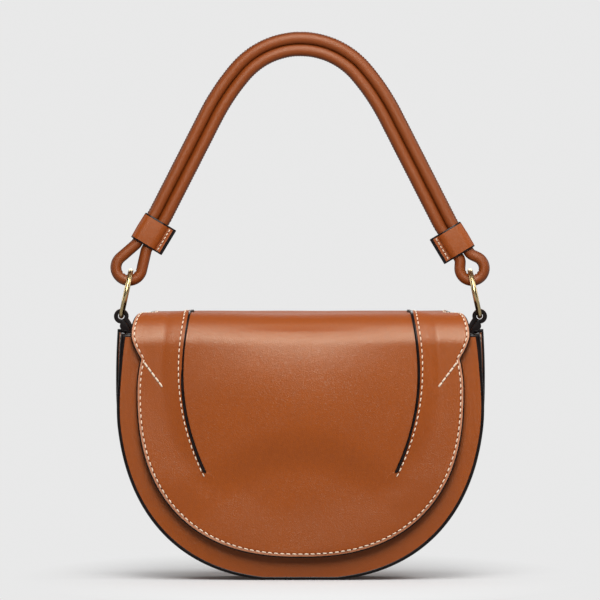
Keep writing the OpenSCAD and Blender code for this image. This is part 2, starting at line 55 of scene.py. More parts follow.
MM = 0.001
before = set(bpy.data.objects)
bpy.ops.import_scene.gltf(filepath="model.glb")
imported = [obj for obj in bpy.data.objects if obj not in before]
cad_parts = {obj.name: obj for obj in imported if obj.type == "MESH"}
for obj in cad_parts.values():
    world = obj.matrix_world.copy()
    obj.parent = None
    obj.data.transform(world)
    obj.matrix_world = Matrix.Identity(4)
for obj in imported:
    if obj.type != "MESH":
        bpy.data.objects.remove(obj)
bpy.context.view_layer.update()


def corners(node):
    """Lowest and highest corner of a node of the frame."""
    low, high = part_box(node)
    return low / MM, high / MM


HALF_W = corners("back_panel")[1].x
HALF_D = corners("back_panel")[1].y
BACK_TOP = corners("back_panel")[1].z
FRONT_TOP = corners("front_panel")[1].z
SIDE_TOP = corners("gusset")[1].z
FLAP_LOW = corners("flap_front")[0].z
GUSSET_SEAM_Y = 29.2
LINING_INSET = 4.2
ROUND = 8
FLOOR_HALF = 15000
BAG_MIDDLE = Vector((0, 0, 0.15))


# Sizes and colours

def length(name, default, description):
    """A length property, given in millimetres and kept in metres."""
    return FloatProperty(name=name, default=default * MM, description=description, unit="LENGTH", precision=5)


def tint(name, default, description):
    """A linear colour property."""
    return FloatVectorProperty(name=name, default=default, description=description, subtype="COLOR", size=3,
                               min=0, max=1)


class BodySizes(bpy.types.PropertyGroup):
    """Sizes of the bag's body."""
    curve_z: length("Curve height", 125, "Height at which the half-moon curve has become upright")
    sole_cut: length("Foot cut", 1, "How far the foot of the curve is flattened")
    curve_power: FloatProperty(name="Squareness", default=2.45, description="Squareness of the half-moon curve")
    top_draw: length("Top lean", 0.9, "How far the sides lean in at the top")
    front_pull: length("Front pull", 4.4, "How far the front panel is drawn in at the top, on each side")
    pull_z: length("Pull start", 95, "Height at which the front panel starts to draw in")
    leather: length("Leather", 1.6, "Thickness of the leather")
    gusset: length("Gusset leather", 1.8, "Thickness of the gusset's leather")
    board: length("Board", 1.2, "Thickness of the boards")
    lining: length("Lining", 0.8, "Thickness of the linings")
    dome: length("Dome", 1.3, "How far the front and back panels swell")
    sag: length("Gusset sag", 1.2, "How far the gusset sinks between the panels")
    welt: length("Welt", 1.6, "How far the sewn seams stand over the gusset")
    rim_w: length("Rim width", 1.45, "Half-width of the painted rim, measured across the panel")
    rim_d: length("Rim depth", 1.75, "Half-depth of the painted rim, measured into the bag")


class FlapSizes(bpy.types.PropertyGroup):
    """Sizes of the flap and its darts."""
    width: length("Width", 204.6, "Width of the flap across its lower curve")
    curve_z: length("Curve height", 118, "Height at which the lower curve is widest")
    power: FloatProperty(name="Squareness", default=2.4, description="Squareness of the lower curve")
    notch_w: length("Notch width", 199.6, "Width between the notches under the wings")
    notch_z: length("Notch height", 138, "Height of the notches")
    wing_w: length("Wing width", 212, "Width across the wings")
    wing_z: length("Wing height", 152, "Height at which the wings are widest")
    roof_z: length("Roof height", 166.5, "Height of the flap's top surface")
    roof_front_w: length("Roof front width", 201, "Width of the top at its front corner")
    roof_waist_w: length("Roof waist", 184, "Width of the top between the tabs")
    roof_back_w: length("Roof back width", 192, "Width of the top at its back corner")
    front_y: length("Front face", 40.6, "Distance of the flap's outer face in front of the bag's middle")
    back_y: length("Back face", 36.6, "Distance of the sewn strip's outer face behind the bag's middle")
    front_r: length("Front corner", 20, "Outer radius of the front corner")
    back_r: length("Back corner", 10.5, "Outer radius of the back corner")
    strip_h: length("Strip height", 36, "Height of the strip that is sewn to the back panel")
    strip_r: length("Strip corner", 14, "Corner radius of that strip")
    full: length("Fullness", 5.2, "How far the flap stands out above the darts' ends")
    hollow: length("Hollow", 3.5, "How far it sinks back under them")
    flare: length("Flare", 1.5, "How far its lower edge stands out")
    dart_w: length("Dart width", 148, "Greatest width between the darts")
    dart_mid_z: length("Dart middle", 128, "Height of that width")
    dart_top_w: length("Dart top width", 139.2, "Width between the darts at the flap's top")
    dart_end_w: length("Dart end width", 119, "Width between the darts' lower ends")
    dart_end_z: length("Dart end", 67, "Height of the darts' lower ends")
    dart_top_y: length("Dart top", 2, "How far behind the bag's middle the darts end on the roof")
    lap: length("Lap", 1.4, "How far the side leather stands over the centre along a dart")
    bead_w: length("Bead width", 2.3, "Width of the painted edge along a dart")
    bead_h: length("Bead height", 1.75, "Height of the painted edge over the centre")
    lap_reach: length("Lap reach", 13, "Distance from a dart over which the lap sinks back")
    turned: length("Turned edge", 1.7, "Width over which the flap's edge is rounded off")
    turn_d: length("Turned depth", 0.75, "How far that edge is rounded off")
    painted: length("Painted border", 0.5, "Width of the paint on the flap's face")
    split_y: length("Split", 8, "Where the leather of the roof is parted into its two pieces")


class StrapSizes(bpy.types.PropertyGroup):
    """Sizes of the cord strap, its keepers and tabs."""
    top_z: length("Crown", 333.8, "Height of the cords' meeting line at the crown")
    cord: length("Cord", 7.2, "Diameter of the cord")
    run_gap: length("Gap", 0.1, "Gap between the two runs")
    shoulder_r: length("Shoulder", 143, "Radius of the shoulders")
    bend_r: length("Bend", 60, "Radius of the bend above each keeper")
    left_loop_r: length("Left loop", 8.1, "Radius of the cord's centre line round the left loop")
    right_loop_r: length("Right loop", 7.6, "Radius of the cord's centre line round the right loop")
    left_reach: length("Left reach", 16, "Distance from the left keeper to the centre of its loop")
    right_reach: length("Right reach", 10, "Distance from the right keeper to the centre of its loop")
    keeper_l: length("Keeper length", 18, "Length of a keeper")
    keeper_t: length("Keeper leather", 1.3, "Thickness of a keeper's leather")
    flange: length("Flange", 5, "Width of a keeper's sewn flange")
    wire_d: length("Ring wire", 3.2, "Diameter of the rings' wire")
    eye_d: length("Eye", 4.8, "Diameter of the eye in a tab")
    tab_t: length("Tab leather", 2.2, "Thickness of a tab's leather")
    tab_w: length("Tab width", 8, "Width of a tab")
    tab_tail: length("Tab tail", 14, "Length of a tab's tail inside the gusset")
    eye_inset: length("Eye inset", 3.3, "Distance from the body's outline to the tabs' eyes")
    eye_rise: length("Eye rise", 9.3, "Height of the eyes above the gusset's top")


class ThreadSizes(bpy.types.PropertyGroup):
    """Sizes of the stitching."""
    pitch: length("Pitch", 3.8, "Distance from stitch to stitch")
    stitch: length("Stitch", 2.6, "Length of a stitch")
    thick: length("Thread", 0.78, "Diameter of the thread")
    inset: length("Inset", 2.5, "Distance from an edge to its stitches")


class BagColours(bpy.types.PropertyGroup):
    """Colours of the handbag."""
    leather: tint("Leather", (0.345, 0.067, 0.002), "Tan leather")
    leather_dark: tint("Darker leather", (0.265, 0.049, 0.003), "Darker drifts of the leather")
    # painted highlight: a pale strip where the flap's rounded edge catches the light, on leather rubbed smooth
    # beside the paint
    burnish: tint("Burnished edge", (0.62, 0.31, 0.19), "Leather rubbed smooth along the flap's edge")
    paint: tint("Edge paint", (0.005, 0.003, 0.003), "Painted edges")
    thread: tint("Thread", (0.93, 0.76, 0.58), "Stitching")
    brass: tint("Brass", (0.74, 0.56, 0.28), "Rings and snap")
    steel: tint("Steel", (0.56, 0.55, 0.53), "Magnet and washers")
    lining: tint("Lining", (0.33, 0.19, 0.095), "Twill lining")
    rope: tint("Rope", (0.72, 0.66, 0.54), "Core of the strap")
    board: tint("Board", (0.36, 0.31, 0.25), "Stiffening boards")
    backdrop: tint("Backdrop", (0.812, 0.812, 0.812), "Floor and backdrop, as the camera sees them")
    # painted shade on the cord's sides, over its sewn outer seam and where its two runs touch
    shade: tint("Shade", (0.05, 0.010, 0.003), "Leather of the cord along its seams")
    gloss: tint("Gloss", (1.0, 0.96, 0.76), "Tint of the leather's highlights")
    cord: tint("Cord leather", (0.235, 0.046, 0.004), "Leather of the strap's cord")
    lit_paper: tint("Lit paper", (0.72, 0.72, 0.72), "Paper round the bag, on which its shadow falls")
    floor: tint("Floor", (0.3, 0.3, 0.3), "Floor and backdrop, as they light the bag")


class Sizes:
    """Reads a property group of the scene, its lengths in millimetres."""

    def __init__(self, group, plain=()):
        self.group, self.plain = group, plain

    def __getattr__(self, name):
        value = getattr(getattr(bpy.context.scene, self.group), name)
        return value if name in self.plain else value / MM


BODY = Sizes("handbag_body", plain=("curve_power",))
FLAP = Sizes("handbag_flap", plain=("power",))
STRAP = Sizes("handbag_strap")
THREAD = Sizes("handbag_thread")


def colours():
    """The colours set for the bag."""
    return bpy.context.scene.handbag_colours


# Node groups and materials

def feed(tree, socket, value):
    """Links a socket to another one, or fills it with a value."""
    if isinstance(value, bpy.types.NodeSocket):
        tree.links.new(value, socket)
    else:
        socket.default_value = value


def add_node(tree, kind, inputs=None, **settings):
    """Adds a node, sets it up, and links or fills its inputs."""
    made = tree.nodes.new(kind)
    for name, value in settings.items():
        setattr(made, name, value)
    for name, value in (inputs or {}).items():
        feed(tree, made.inputs[name], value)
    return made


def maths(tree, operation, *values):
    """Output of a Math node."""
    return add_node(tree, "ShaderNodeMath", dict(enumerate(values)), operation=operation).outputs[0]


def vector_maths(tree, operation, *values):
    """Outputs of a Vector Math node."""
    return add_node(tree, "ShaderNodeVectorMath", dict(enumerate(values)), operation=operation).outputs


def add_noise(tree, place, scale, detail, roughness=0.5):
    """Outputs of a noise texture."""
    return add_node(tree, "ShaderNodeTexNoise", {
        "Vector": place, "Scale": scale, "Detail": detail, "Roughness": roughness}).outputs


def mix_colour(tree, factor, first, second):
    """Output of a colour mix."""
    return add_node(tree, "ShaderNodeMix", {0: factor, 6: first, 7: second}, data_type="RGBA").outputs[2]


def mix_shader(tree, factor, first, second):
    """Output of a shader mix."""
    return add_node(tree, "ShaderNodeMixShader", {0: factor, 1: first, 2: second}).outputs[0]


def spread(tree, value, low, high, to_low, to_high):
    """Output of a map range."""
    made = add_node(tree, "ShaderNodeMapRange", {"Value": value, "From Min": low, "From Max": high,
                                                 "To Min": to_low, "To Max": to_high})
    return made.outputs["Result"]


def new_group(name, inputs, outputs):
    """An empty shader group with its two ends. A socket is given as its kind, or as a number."""
    tree = bpy.data.node_groups.new(name, "ShaderNodeTree")
    for direction, sockets in (("INPUT", inputs), ("OUTPUT", outputs)):
        for label, value in sockets.items():
            kind = value if isinstance(value, str) else "Float"
            socket = tree.interface.new_socket(name=label, in_out=direction, socket_type="NodeSocket" + kind)
            if value is not kind:
                socket.default_value = value
    return tree, tree.nodes.new("NodeGroupInput").outputs, tree.nodes.new("NodeGroupOutput").inputs


@cache
def grain_group():
    """Pebbled pores of smooth leather: a height and a mask of its creases."""
    tree, given, out = new_group("Leather grain", {"Vector": "Vector", "Scale": 1400.0},
                                 {"Height": "Float", "Pores": "Float"})
    warp = add_noise(tree, given["Vector"], 700.0, 2.0)
    shift = vector_maths(tree, "MULTIPLY", warp["Color"], (0.0004, 0.0004, 0.0004))
    place = vector_maths(tree, "ADD", given["Vector"], shift[0])
    cells = add_node(tree, "ShaderNodeTexVoronoi", {"Vector": place[0], "Scale": given["Scale"]},
                     feature="DISTANCE_TO_EDGE")
    creases = spread(tree, cells.outputs["Distance"], 0.0, 0.22, 0.0, 1.0)
    fine = add_noise(tree, given["Vector"], 2600.0, 3.0)
    feed(tree, out["Height"], maths(tree, "MULTIPLY_ADD", fine["Fac"], 0.45, creases))
    feed(tree, out["Pores"], creases)
    return tree


@cache
def drift_group():
    """Slow drifts between two colours, with the value that drives them."""
    tree, given, out = new_group(
        "Colour drift", {"Vector": "Vector", "Base": "Color", "Drift": "Color", "Scale": 14.0, "Amount": 0.6},
        {"Color": "Color", "Value": "Float"})
    broad = add_noise(tree, given["Vector"], given["Scale"], 4.0, 0.55)
    value = spread(tree, broad["Fac"], 0.34, 0.68, 0.0, 1.0)
    share = maths(tree, "MULTIPLY", value, given["Amount"])
    feed(tree, out["Color"], mix_colour(tree, share, given["Base"], given["Drift"]))
    feed(tree, out["Value"], value)
    return tree


@cache
def twill_group():
    """Diagonal ribs of a twill weave: a height and a mask."""
    tree, given, out = new_group("Twill weave", {"Vector": "Vector", "Scale": 420.0},
                                 {"Height": "Float", "Mask": "Float"})
    ribs = add_node(tree, "ShaderNodeTexWave",
                    {"Vector": given["Vector"], "Scale": given["Scale"], "Distortion": 0.6},
                    wave_type="BANDS", bands_direction="DIAGONAL").outputs["Fac"]
    slubs = add_noise(tree, given["Vector"], 900.0, 2.0)
    feed(tree, out["Height"], maths(tree, "MULTIPLY_ADD", slubs["Fac"], 0.4, ribs))
    feed(tree, out["Mask"], ribs)
    return tree


def add_group(tree, maker, **inputs):
    """Outputs of a shared group that is placed in a material."""
    return add_node(tree, "ShaderNodeGroup", inputs, node_tree=maker()).outputs


def rgba(colour, share=1.0):
    """A colour for a socket, darkened to a share."""
    return tuple(share * value for value in colour) + (1.0,)


def start_material(name, **shader):
    """A material with its Principled shader set: its node tree, the shader's sockets and the object's place."""
    made = bpy.data.materials.new(name)
    made.use_nodes = True
    tree = made.node_tree
    sockets = tree.nodes["Principled BSDF"].inputs
    for label, value in shader.items():
        sockets[label.replace("_", " ")].default_value = value
    return made, tree, sockets, tree.nodes.new("ShaderNodeTexCoord").outputs["Object"]


def add_bump(tree, sockets, height, strength, distance):
    """Feeds a height through a Bump node into the shader's normal."""
    bump = add_node(tree, "ShaderNodeBump", {"Height": height, "Strength": strength, "Distance": distance})
    feed(tree, sockets["Normal"], bump.outputs["Normal"])


def leather_finish(name, base, dark, pore_scale, gloss_low, gloss_high, seam=0.0):
    """Smooth finished leather with fine pores and slow drifts of colour, duller on the roof of the flap.
    seam is how dark a cord in the XZ plane is made along its sides: painted shade on its edges as seen from the
    front, which covers its sewn outer seam and the sides where its two runs touch."""
    made, tree, sockets, place = start_material(name, Specular_IOR_Level=0.57,
                                                Specular_Tint=rgba(colours().gloss))
    roof_starts, roof_ends, roof_dulls, side_shade_w = 0.157, 0.166, 0.38, 0.0034
    _, place_y, place_z = add_node(tree, "ShaderNodeSeparateXYZ", {0: place}).outputs
    broad = add_group(tree, drift_group, Vector=place, Base=rgba(base), Drift=rgba(dark), Scale=11.0,
                      Amount=0.55)
    grain = add_group(tree, grain_group, Vector=place, Scale=pore_scale)
    pores = spread(tree, grain["Pores"], 0.0, 1.0, 0.16, 0.0)
    fine = add_group(tree, drift_group, Vector=place, Base=broad["Color"], Drift=rgba(dark), Scale=420.0,
                     Amount=0.45)
    skin = mix_colour(tree, pores, fine["Color"], rgba(dark))
    # painted shade: the cord darkens towards its sides and fades out towards its front and back faces; this
    # covers its sewn outer seam and where its two runs touch
    if seam:
        shaded = spread(tree, maths(tree, "ABSOLUTE", place_y), 0.0, side_shade_w, seam, 0.0)
        skin = mix_colour(tree, shaded, skin, rgba(colours().shade))
    feed(tree, sockets["Base Color"], skin)
    roof = spread(tree, place_z, roof_starts, roof_ends, 0.0, roof_dulls)
    gloss = spread(tree, broad["Value"], 0.0, 1.0, gloss_low, gloss_high)
    feed(tree, sockets["Roughness"], maths(tree, "ADD", roof, gloss))
    add_bump(tree, sockets, grain["Height"], 0.35, 0.00011)
    return made


@cache
def tan_leather():
    """Leather of the body, the flap and the tabs."""
    return leather_finish("tan_leather", colours().leather, colours().leather_dark, 1050.0, 0.28, 0.34)


@cache
def burnished_edge():
    """Leather rubbed smooth beside a painted edge, pale as a painted highlight of that rounded edge."""
    return leather_finish("burnished_edge", colours().burnish, colours().leather, 1500.0, 0.24, 0.30)


@cache
def cord_leather():
    """Leather of the strap's cord, darker than the body's, with painted shade along its sides, over its sewn
    seam and where its two runs touch.
    """
    return leather_finish("cord_leather", colours().cord, colours().leather_dark, 1900.0, 0.0, 0.06, 0.8)


@cache
def keeper_leather():
    """Darker leather of the keepers."""
    return leather_finish("keeper_leather", colours().leather_dark, colours().leather, 1500.0, 0.0, 0.06)


def drifting_finish(name, base, dark, scale, amount, rough=None, bump=None, **shader):
    """A finish that drifts between two colours, with its range of roughness and its bump if given."""
    made, tree, sockets, place = start_material(name, **shader)
    drift = add_group(tree, drift_group, Vector=place, Base=rgba(base), Drift=dark, Scale=scale, Amount=amount)
    feed(tree, sockets["Base Color"], drift["Color"])
    if rough:
        feed(tree, sockets["Roughness"], spread(tree, drift["Value"], 0.0, 1.0, *rough))
    if bump:
        add_bump(tree, sockets, drift["Value"], *bump)
    return made


@cache
def edge_paint():
    """Glossy near-black paint on cut edges."""
    return drifting_finish("edge_paint", colours().paint, rgba((0.016, 0.010, 0.009)), 90.0, 0.5, (0.24, 0.36),
                           (0.2, 0.0001), Specular_IOR_Level=0.22)


@cache
def needle_hole():
    """Near-black plugs that stand in as painted shade for the needle holes."""
    return drifting_finish("needle_hole", (0.05, 0.014, 0.006), rgba((0.025, 0.008, 0.004)), 200.0, 1.0,
                           Roughness=0.8)


def metal_finish(name, base, rough, scale):
    """Metal with a faint brushing and handling marks."""
    return drifting_finish(name, base, rgba(base, 0.8), scale, 0.4, rough, (0.03, 0.0001), Metallic=1.0)


@cache
def brass():
    """Brass of the rings and the snap."""
    return metal_finish("brass", colours().brass, (0.2, 0.32), 120.0)


@cache
def nickel_steel():
    """Steel of the magnet and the washers."""
    return metal_finish("nickel_steel", colours().steel, (0.25, 0.4), 200.0)


@cache
def fibre_board():
    """Pressed fibre board behind the leather."""
    return drifting_finish("fibre_board", colours().board, rgba(colours().board, 0.7), 600.0, 0.8,
                           bump=(0.4, 0.0002), Roughness=0.9)


def shaded_finish(made, tree, sockets, base, dark, mask, height, bump):
    """Darkens a colour where a mask is low, and adds the bump: the darkening is painted shade in the bump's
    grooves.
    """
    # painted shade: darker where the height of the bump is low, in the grooves of the twist or the weave
    feed(tree, sockets["Base Color"], mix_colour(tree, mask, rgba(base), rgba(base, dark)))
    add_bump(tree, sockets, height, *bump)
    return made


@cache
def cream_thread():
    """Waxed cream thread with its twist."""
    made, tree, sockets, place = start_material("cream_thread", Roughness=0.6)
    twist = add_node(tree, "ShaderNodeTexWave", {"Vector": place, "Scale": 900.0, "Distortion": 1.5},
                     bands_direction="DIAGONAL").outputs["Fac"]
    return shaded_finish(made, tree, sockets, colours().thread, 0.62, spread(tree, twist, 0.0, 1.0, 0.35, 0.0),
                         twist, (0.4, 0.0001))


def twill_finish(name, base, scale, bump, **shader):
    """Cotton with diagonal ribs."""
    made, tree, sockets, place = start_material(name, **shader)
    weave = add_group(tree, twill_group, Vector=place, Scale=scale)
    return shaded_finish(made, tree, sockets, base, 0.6, spread(tree, weave["Mask"], 0.0, 1.0, 0.5, 0.0),
                         weave["Height"], bump)


@cache
def twill_lining():
    """Camel twill that lines the bag."""
    return twill_finish("twill_lining", colours().lining, 420.0, (0.5, 0.0002), Roughness=0.85,
                        Sheen_Weight=0.25)


@cache
def cotton_rope():
    """Twisted cotton inside the strap."""
    return twill_finish("cotton_rope", colours().rope, 200.0, (0.6, 0.0004), Roughness=0.9)


@cache
def backdrop_paper():
    """Pale paper that keeps the shadow and stays even to the camera away from the bag."""
    made, tree, _, place = start_material("backdrop_paper", Base_Color=rgba(colours().floor), Roughness=1.0,
                                          Specular_IOR_Level=0.0)
    glow = add_node(tree, "ShaderNodeEmission", {"Color": rgba(colours().backdrop), "Strength": 1.0})
    rays = tree.nodes.new("ShaderNodeLightPath").outputs
    oval, shadow_ends, mirrored_share = (5.6, 2.2, 2.6), 0.35, 0.12
    away = vector_maths(tree, "LENGTH", vector_maths(tree, "MULTIPLY", place, oval)[0])["Value"]
    even = spread(tree, away, shadow_ends, 1.0, 0.0, 1.0)
    glossy = maths(tree, "MULTIPLY", rays["Is Glossy Ray"], mirrored_share)
    seen = maths(tree, "MULTIPLY_ADD", rays["Is Camera Ray"], even, glossy)
    paper = add_node(tree, "ShaderNodeBsdfDiffuse", {"Color": rgba(colours().lit_paper)})
    near = mix_shader(tree, rays["Is Camera Ray"], tree.nodes["Principled BSDF"].outputs[0], paper.outputs[0])
    feed(tree, tree.nodes["Material Output"].inputs["Surface"], mix_shader(tree, seen, near, glow.outputs[0]))
    return made


# Small helpers

def steps(start, end, count):
    """Even steps from start to end, both included."""
    return [start + (end - start) * i / count for i in range(count + 1)]


def runs(*stops):
    """Even steps from stop to stop, such as runs(0, 20, 1, 8, 2) for 20 steps up to 1 and 8 up to 2."""
    values = [stops[0]]
    for start, count, end in zip(stops[::2], stops[1::2], stops[2::2]):
        values += steps(start, end, count)[1:]
    return values


def circle(count):
    """Even angles all the way round."""
    return steps(0, 2 * math.pi, count)[:-1]


def mirrored(values):
    """The same places on the other side, in reversed order."""
    return [-value for value in reversed(values)]


def signed(x, t):
    """t with the sign of x."""
    return t if x >= 0 else -t


def smooth_step(value):
    """Smooth rise from 0 to 1."""
    value = min(1.0, max(0.0, value))
    return value * value * (3 - 2 * value)


def wave(point, size, depth):
    """Smooth seeded unevenness of a surface."""
    return depth * noise.noise(Vector(point) / size)


def bezier(a, b, c, t):
    """Point of a quadratic curve."""
    return [(1 - t) ** 2 * p + 2 * t * (1 - t) * q + t * t * r for p, q, r in zip(a, b, c)]


def unit(angle):
    """Unit vector at an angle in degrees."""
    return Vector((math.cos(math.radians(angle)), math.sin(math.radians(angle))))


# Mesh building

def link_object(name, data):
    """A new object in the scene."""
    made = bpy.data.objects.new(name, data)
    bpy.context.scene.collection.objects.link(made)
    return made


def finish_mesh(name, bm, makers, sharp=40, closed=True):
    """Turns a bmesh in millimetres into a smooth object with its materials."""
    if closed:
        bmesh.ops.recalc_face_normals(bm, faces=bm.faces)
    for vertex in bm.verts:
        vertex.co *= MM
    mesh = bpy.data.meshes.new(name)
    bm.to_mesh(mesh)
    bm.free()
    for maker in makers:
        mesh.materials.append(maker())
    mesh.polygons.foreach_set("use_smooth", [True] * len(mesh.polygons))
    mesh.set_sharp_from_angle(angle=math.radians(sharp))
    return link_object(name, mesh)


def thicken(bm, thick, round_r):
    """Gives an open sheet its thickness on its inner side, with rounded edges in slot 1."""
    bm.normal_update()
    sheet = list(bm.faces)
    border = [edge.link_loops[0] for edge in bm.edges if edge.is_boundary]
    twins = {vertex: bm.verts.new(vertex.co - vertex.normal * thick) for vertex in list(bm.verts)}
    for face in sheet:
        bm.faces.new([twins[vertex] for vertex in reversed(face.verts)])
    rims = []
    for loop in border:
        a, b = loop.vert, loop.link_loop_next.vert
        side = bm.faces.new((b, a, twins[a], twins[b]))
        side.material_index = 1
        rims += [loop.edge, bm.edges.get((twins[a], twins[b]))]
    bm.normal_update()
    bmesh.ops.bevel(bm, geom=rims, offset=round_r, segments=3, profile=0.5, affect="EDGES", material=1,
                    clamp_overlap=False)


def add_loops(bm, loops, closed_round=True, closed_along=False, slot_at=None):
    """Joins equal loops of points with quads. slot_at(i, j) gives the material slot of a quad."""
    rows = [[bm.verts.new(point) for point in loop] for loop in loops]
    size = len(loops[0])
    for i in range(len(rows) if closed_along else len(rows) - 1):
        here, there = rows[i], rows[(i + 1) % len(rows)]
        for j in range(size if closed_round else size - 1):
            k = (j + 1) % size
            face = bm.faces.new((here[j], here[k], there[k], there[j]))
            face.material_index = slot_at(i, j) if slot_at else 0
    return rows


def add_tube(bm, rings, slot_at=None, cap_slot=0):
    """A closed tube through rings of points, capped at both ends."""
    rows = add_loops(bm, rings, slot_at=slot_at)
    for row in (rows[0], rows[-1]):
        bm.faces.new(row).material_index = cap_slot


# Outlines of the body and the flap

def moon(share, half_w, half_h, centre_z, power):
    """Point of the half-moon curve, from 0 at the foot to 1 at the side."""
    angle = share * math.pi / 2
    return (half_w * math.sin(angle) ** (2 / power),
            centre_z - half_h * max(0.0, math.cos(angle)) ** (2 / power))


def moon_share(x, half_w, power):
    """Where on the half-moon curve a half-width is reached."""
    return math.asin(min(1.0, abs(x) / half_w) ** (power / 2)) * 2 / math.pi


def pull(z, y):
    """How far the outline is drawn in at a height and a depth."""
    start = BODY.pull_z
    share = (HALF_D - y) / (2 * HALF_D)
    return BODY.front_pull * share * max(0.0, (z - start) / (SIDE_TOP - start)) ** 1.5


def body_edge(y, top_z):
    """Outline of the body at a depth. t runs from 0 at the foot to 1, where the curve is upright, 2 at
    the top corner and 3 at the middle of the top edge."""
    centre_z = BODY.curve_z

    def edge(t, inset):
        side = 1 if t >= 0 else -1
        t = abs(t)
        if t <= 1:
            x, z = moon(t, HALF_W - inset, centre_z + BODY.sole_cut - inset, centre_z, BODY.curve_power)
            z = max(z, inset)
        else:
            z = centre_z + (top_z - inset - centre_z) * (min(t, 2) - 1)
            x = HALF_W - inset - BODY.top_draw * ((z - centre_z) / (SIDE_TOP - centre_z)) ** 2
        x = max(0.0, x - pull(z, y))
        if t > 2:
            x *= 3 - t
        return side * x, z
    return edge


class FlapPath:
    """Distances along the flap's profile, from its lowest point up, over the roof and down the back."""

    def __init__(self):
        self.front_r, self.back_r, self.roof_z = FLAP.front_r, FLAP.back_r, FLAP.roof_z
        self.front_y, self.back_y = -FLAP.front_y, FLAP.back_y
        self.bend_y = self.front_y + self.front_r
        self.turn_y = self.back_y - self.back_r
        self.bend_u = self.roof_z - self.front_r
        self.roof_u = self.bend_u + self.front_r * math.pi / 2
        self.turn_u = self.roof_u + self.turn_y - self.bend_y
        self.back_u = self.turn_u + self.back_r * math.pi / 2
        self.end_u = self.back_u + FLAP.strip_h

    def u_of_z(self, z):
        """Distance along the profile at a height on the front."""
        if z <= self.bend_u:
            return z
        return self.bend_u + self.front_r * math.asin(min(1.0, (z - self.bend_u) / self.front_r))

    def u_of_y(self, y):
        """Distance along the profile at a depth on the roof."""
        return self.roof_u + y - self.bend_y

    def point(self, x, u, h):
        """Point h above the flap's outer surface."""
        if u <= self.bend_u:
            return Vector((x, self.front_y - h, u))
        if u <= self.roof_u:
            turn = (u - self.bend_u) / self.front_r
            reach = self.front_r + h
            return Vector((x, self.bend_y - reach * math.cos(turn), self.bend_u + reach * math.sin(turn)))
        if u <= self.turn_u:
            return Vector((x, self.bend_y + u - self.roof_u, self.roof_z + h))
        if u <= self.back_u:
            turn = (u - self.turn_u) / self.back_r
            reach = self.back_r + h
            return Vector((x, self.turn_y + reach * math.sin(turn),
                           self.roof_z - self.back_r + reach * math.cos(turn)))
        return Vector((x, self.back_y + h, self.roof_z - self.back_r - (u - self.back_u)))


def flap_edge(path):
    """Outline of the flap along its profile. t is 0 at the lowest point, 1 where the curve is widest, 2 at
    the notch, 3 at the wing, 4 at the front corner, 5 at the back corner, 6 where the strip's corner
    starts, 7 where it ends and 8 at the middle of the strip's lower edge."""
    curve_z, notch_z, wing_z = FLAP.curve_z, FLAP.notch_z, FLAP.wing_z
    clear_y = 7.2

    def roof(share, inset):
        front, waist, back = (w / 2 - inset for w in (FLAP.roof_front_w, FLAP.roof_waist_w, FLAP.roof_back_w))
        y = path.bend_y + (path.turn_y - path.bend_y) * share
        if y < -clear_y / 2:
            part = (y - path.bend_y) / (-clear_y / 2 - path.bend_y)
            return waist + (front - waist) * (1 - part) ** 2, path.u_of_y(y)
        if y > path.turn_y - clear_y:
            part = (y - path.turn_y + clear_y) / (clear_y + path.back_r)
            return waist + (back - waist) * part ** 2, path.u_of_y(y)
        return waist, path.u_of_y(y)

    def edge(t, inset):
        side = 1 if t >= 0 else -1
        t = abs(t)
        half_w = FLAP.width / 2 - inset
        notch = (FLAP.notch_w / 2 - inset, notch_z)
        wing = (FLAP.wing_w / 2 - inset, wing_z)
        top_x = FLAP.roof_front_w / 2 - inset
        back_x = FLAP.roof_back_w / 2 - inset
        corner_r = FLAP.strip_r - inset
        if t <= 1:
            x, u = moon(t, half_w, curve_z - FLAP_LOW - inset, curve_z, FLAP.power)
        elif t <= 2:
            x, u = bezier((half_w, curve_z), (half_w, (curve_z + notch_z) / 2), notch, t - 1)
        elif t <= 3:
            bend = (notch[0] + (wing[0] - notch[0]) * 0.8, notch_z + (wing_z - notch_z) * 0.55)
            x, u = bezier(notch, bend, wing, t - 2)
        elif t <= 4:
            turn = (t - 3) * math.pi / 2
            x = top_x + (wing[0] - top_x) * math.cos(turn)
            u = wing_z + (path.roof_z - wing_z) * math.sin(turn)
        elif t <= 5:
            x, u = roof(t - 4, inset)
        elif t <= 6:
            start = roof(1, inset)[0]
            u = path.turn_u + (path.end_u - FLAP.strip_r - path.turn_u) * (t - 5)
            part = min(1.0, (u - path.turn_u) / path.back_r)
            x = start + (back_x - start) * (1 - (1 - part) ** 2)
        elif t <= 7:
            turn = (t - 6) * math.pi / 2
            x = back_x - corner_r + corner_r * math.cos(turn)
            u = path.end_u - FLAP.strip_r + corner_r * math.sin(turn)
        else:
            x = (back_x - corner_r) * (8 - t)
            u = path.end_u - inset
        if t <= 4:
            u = path.u_of_z(u)
        return side * x, u
    return edge


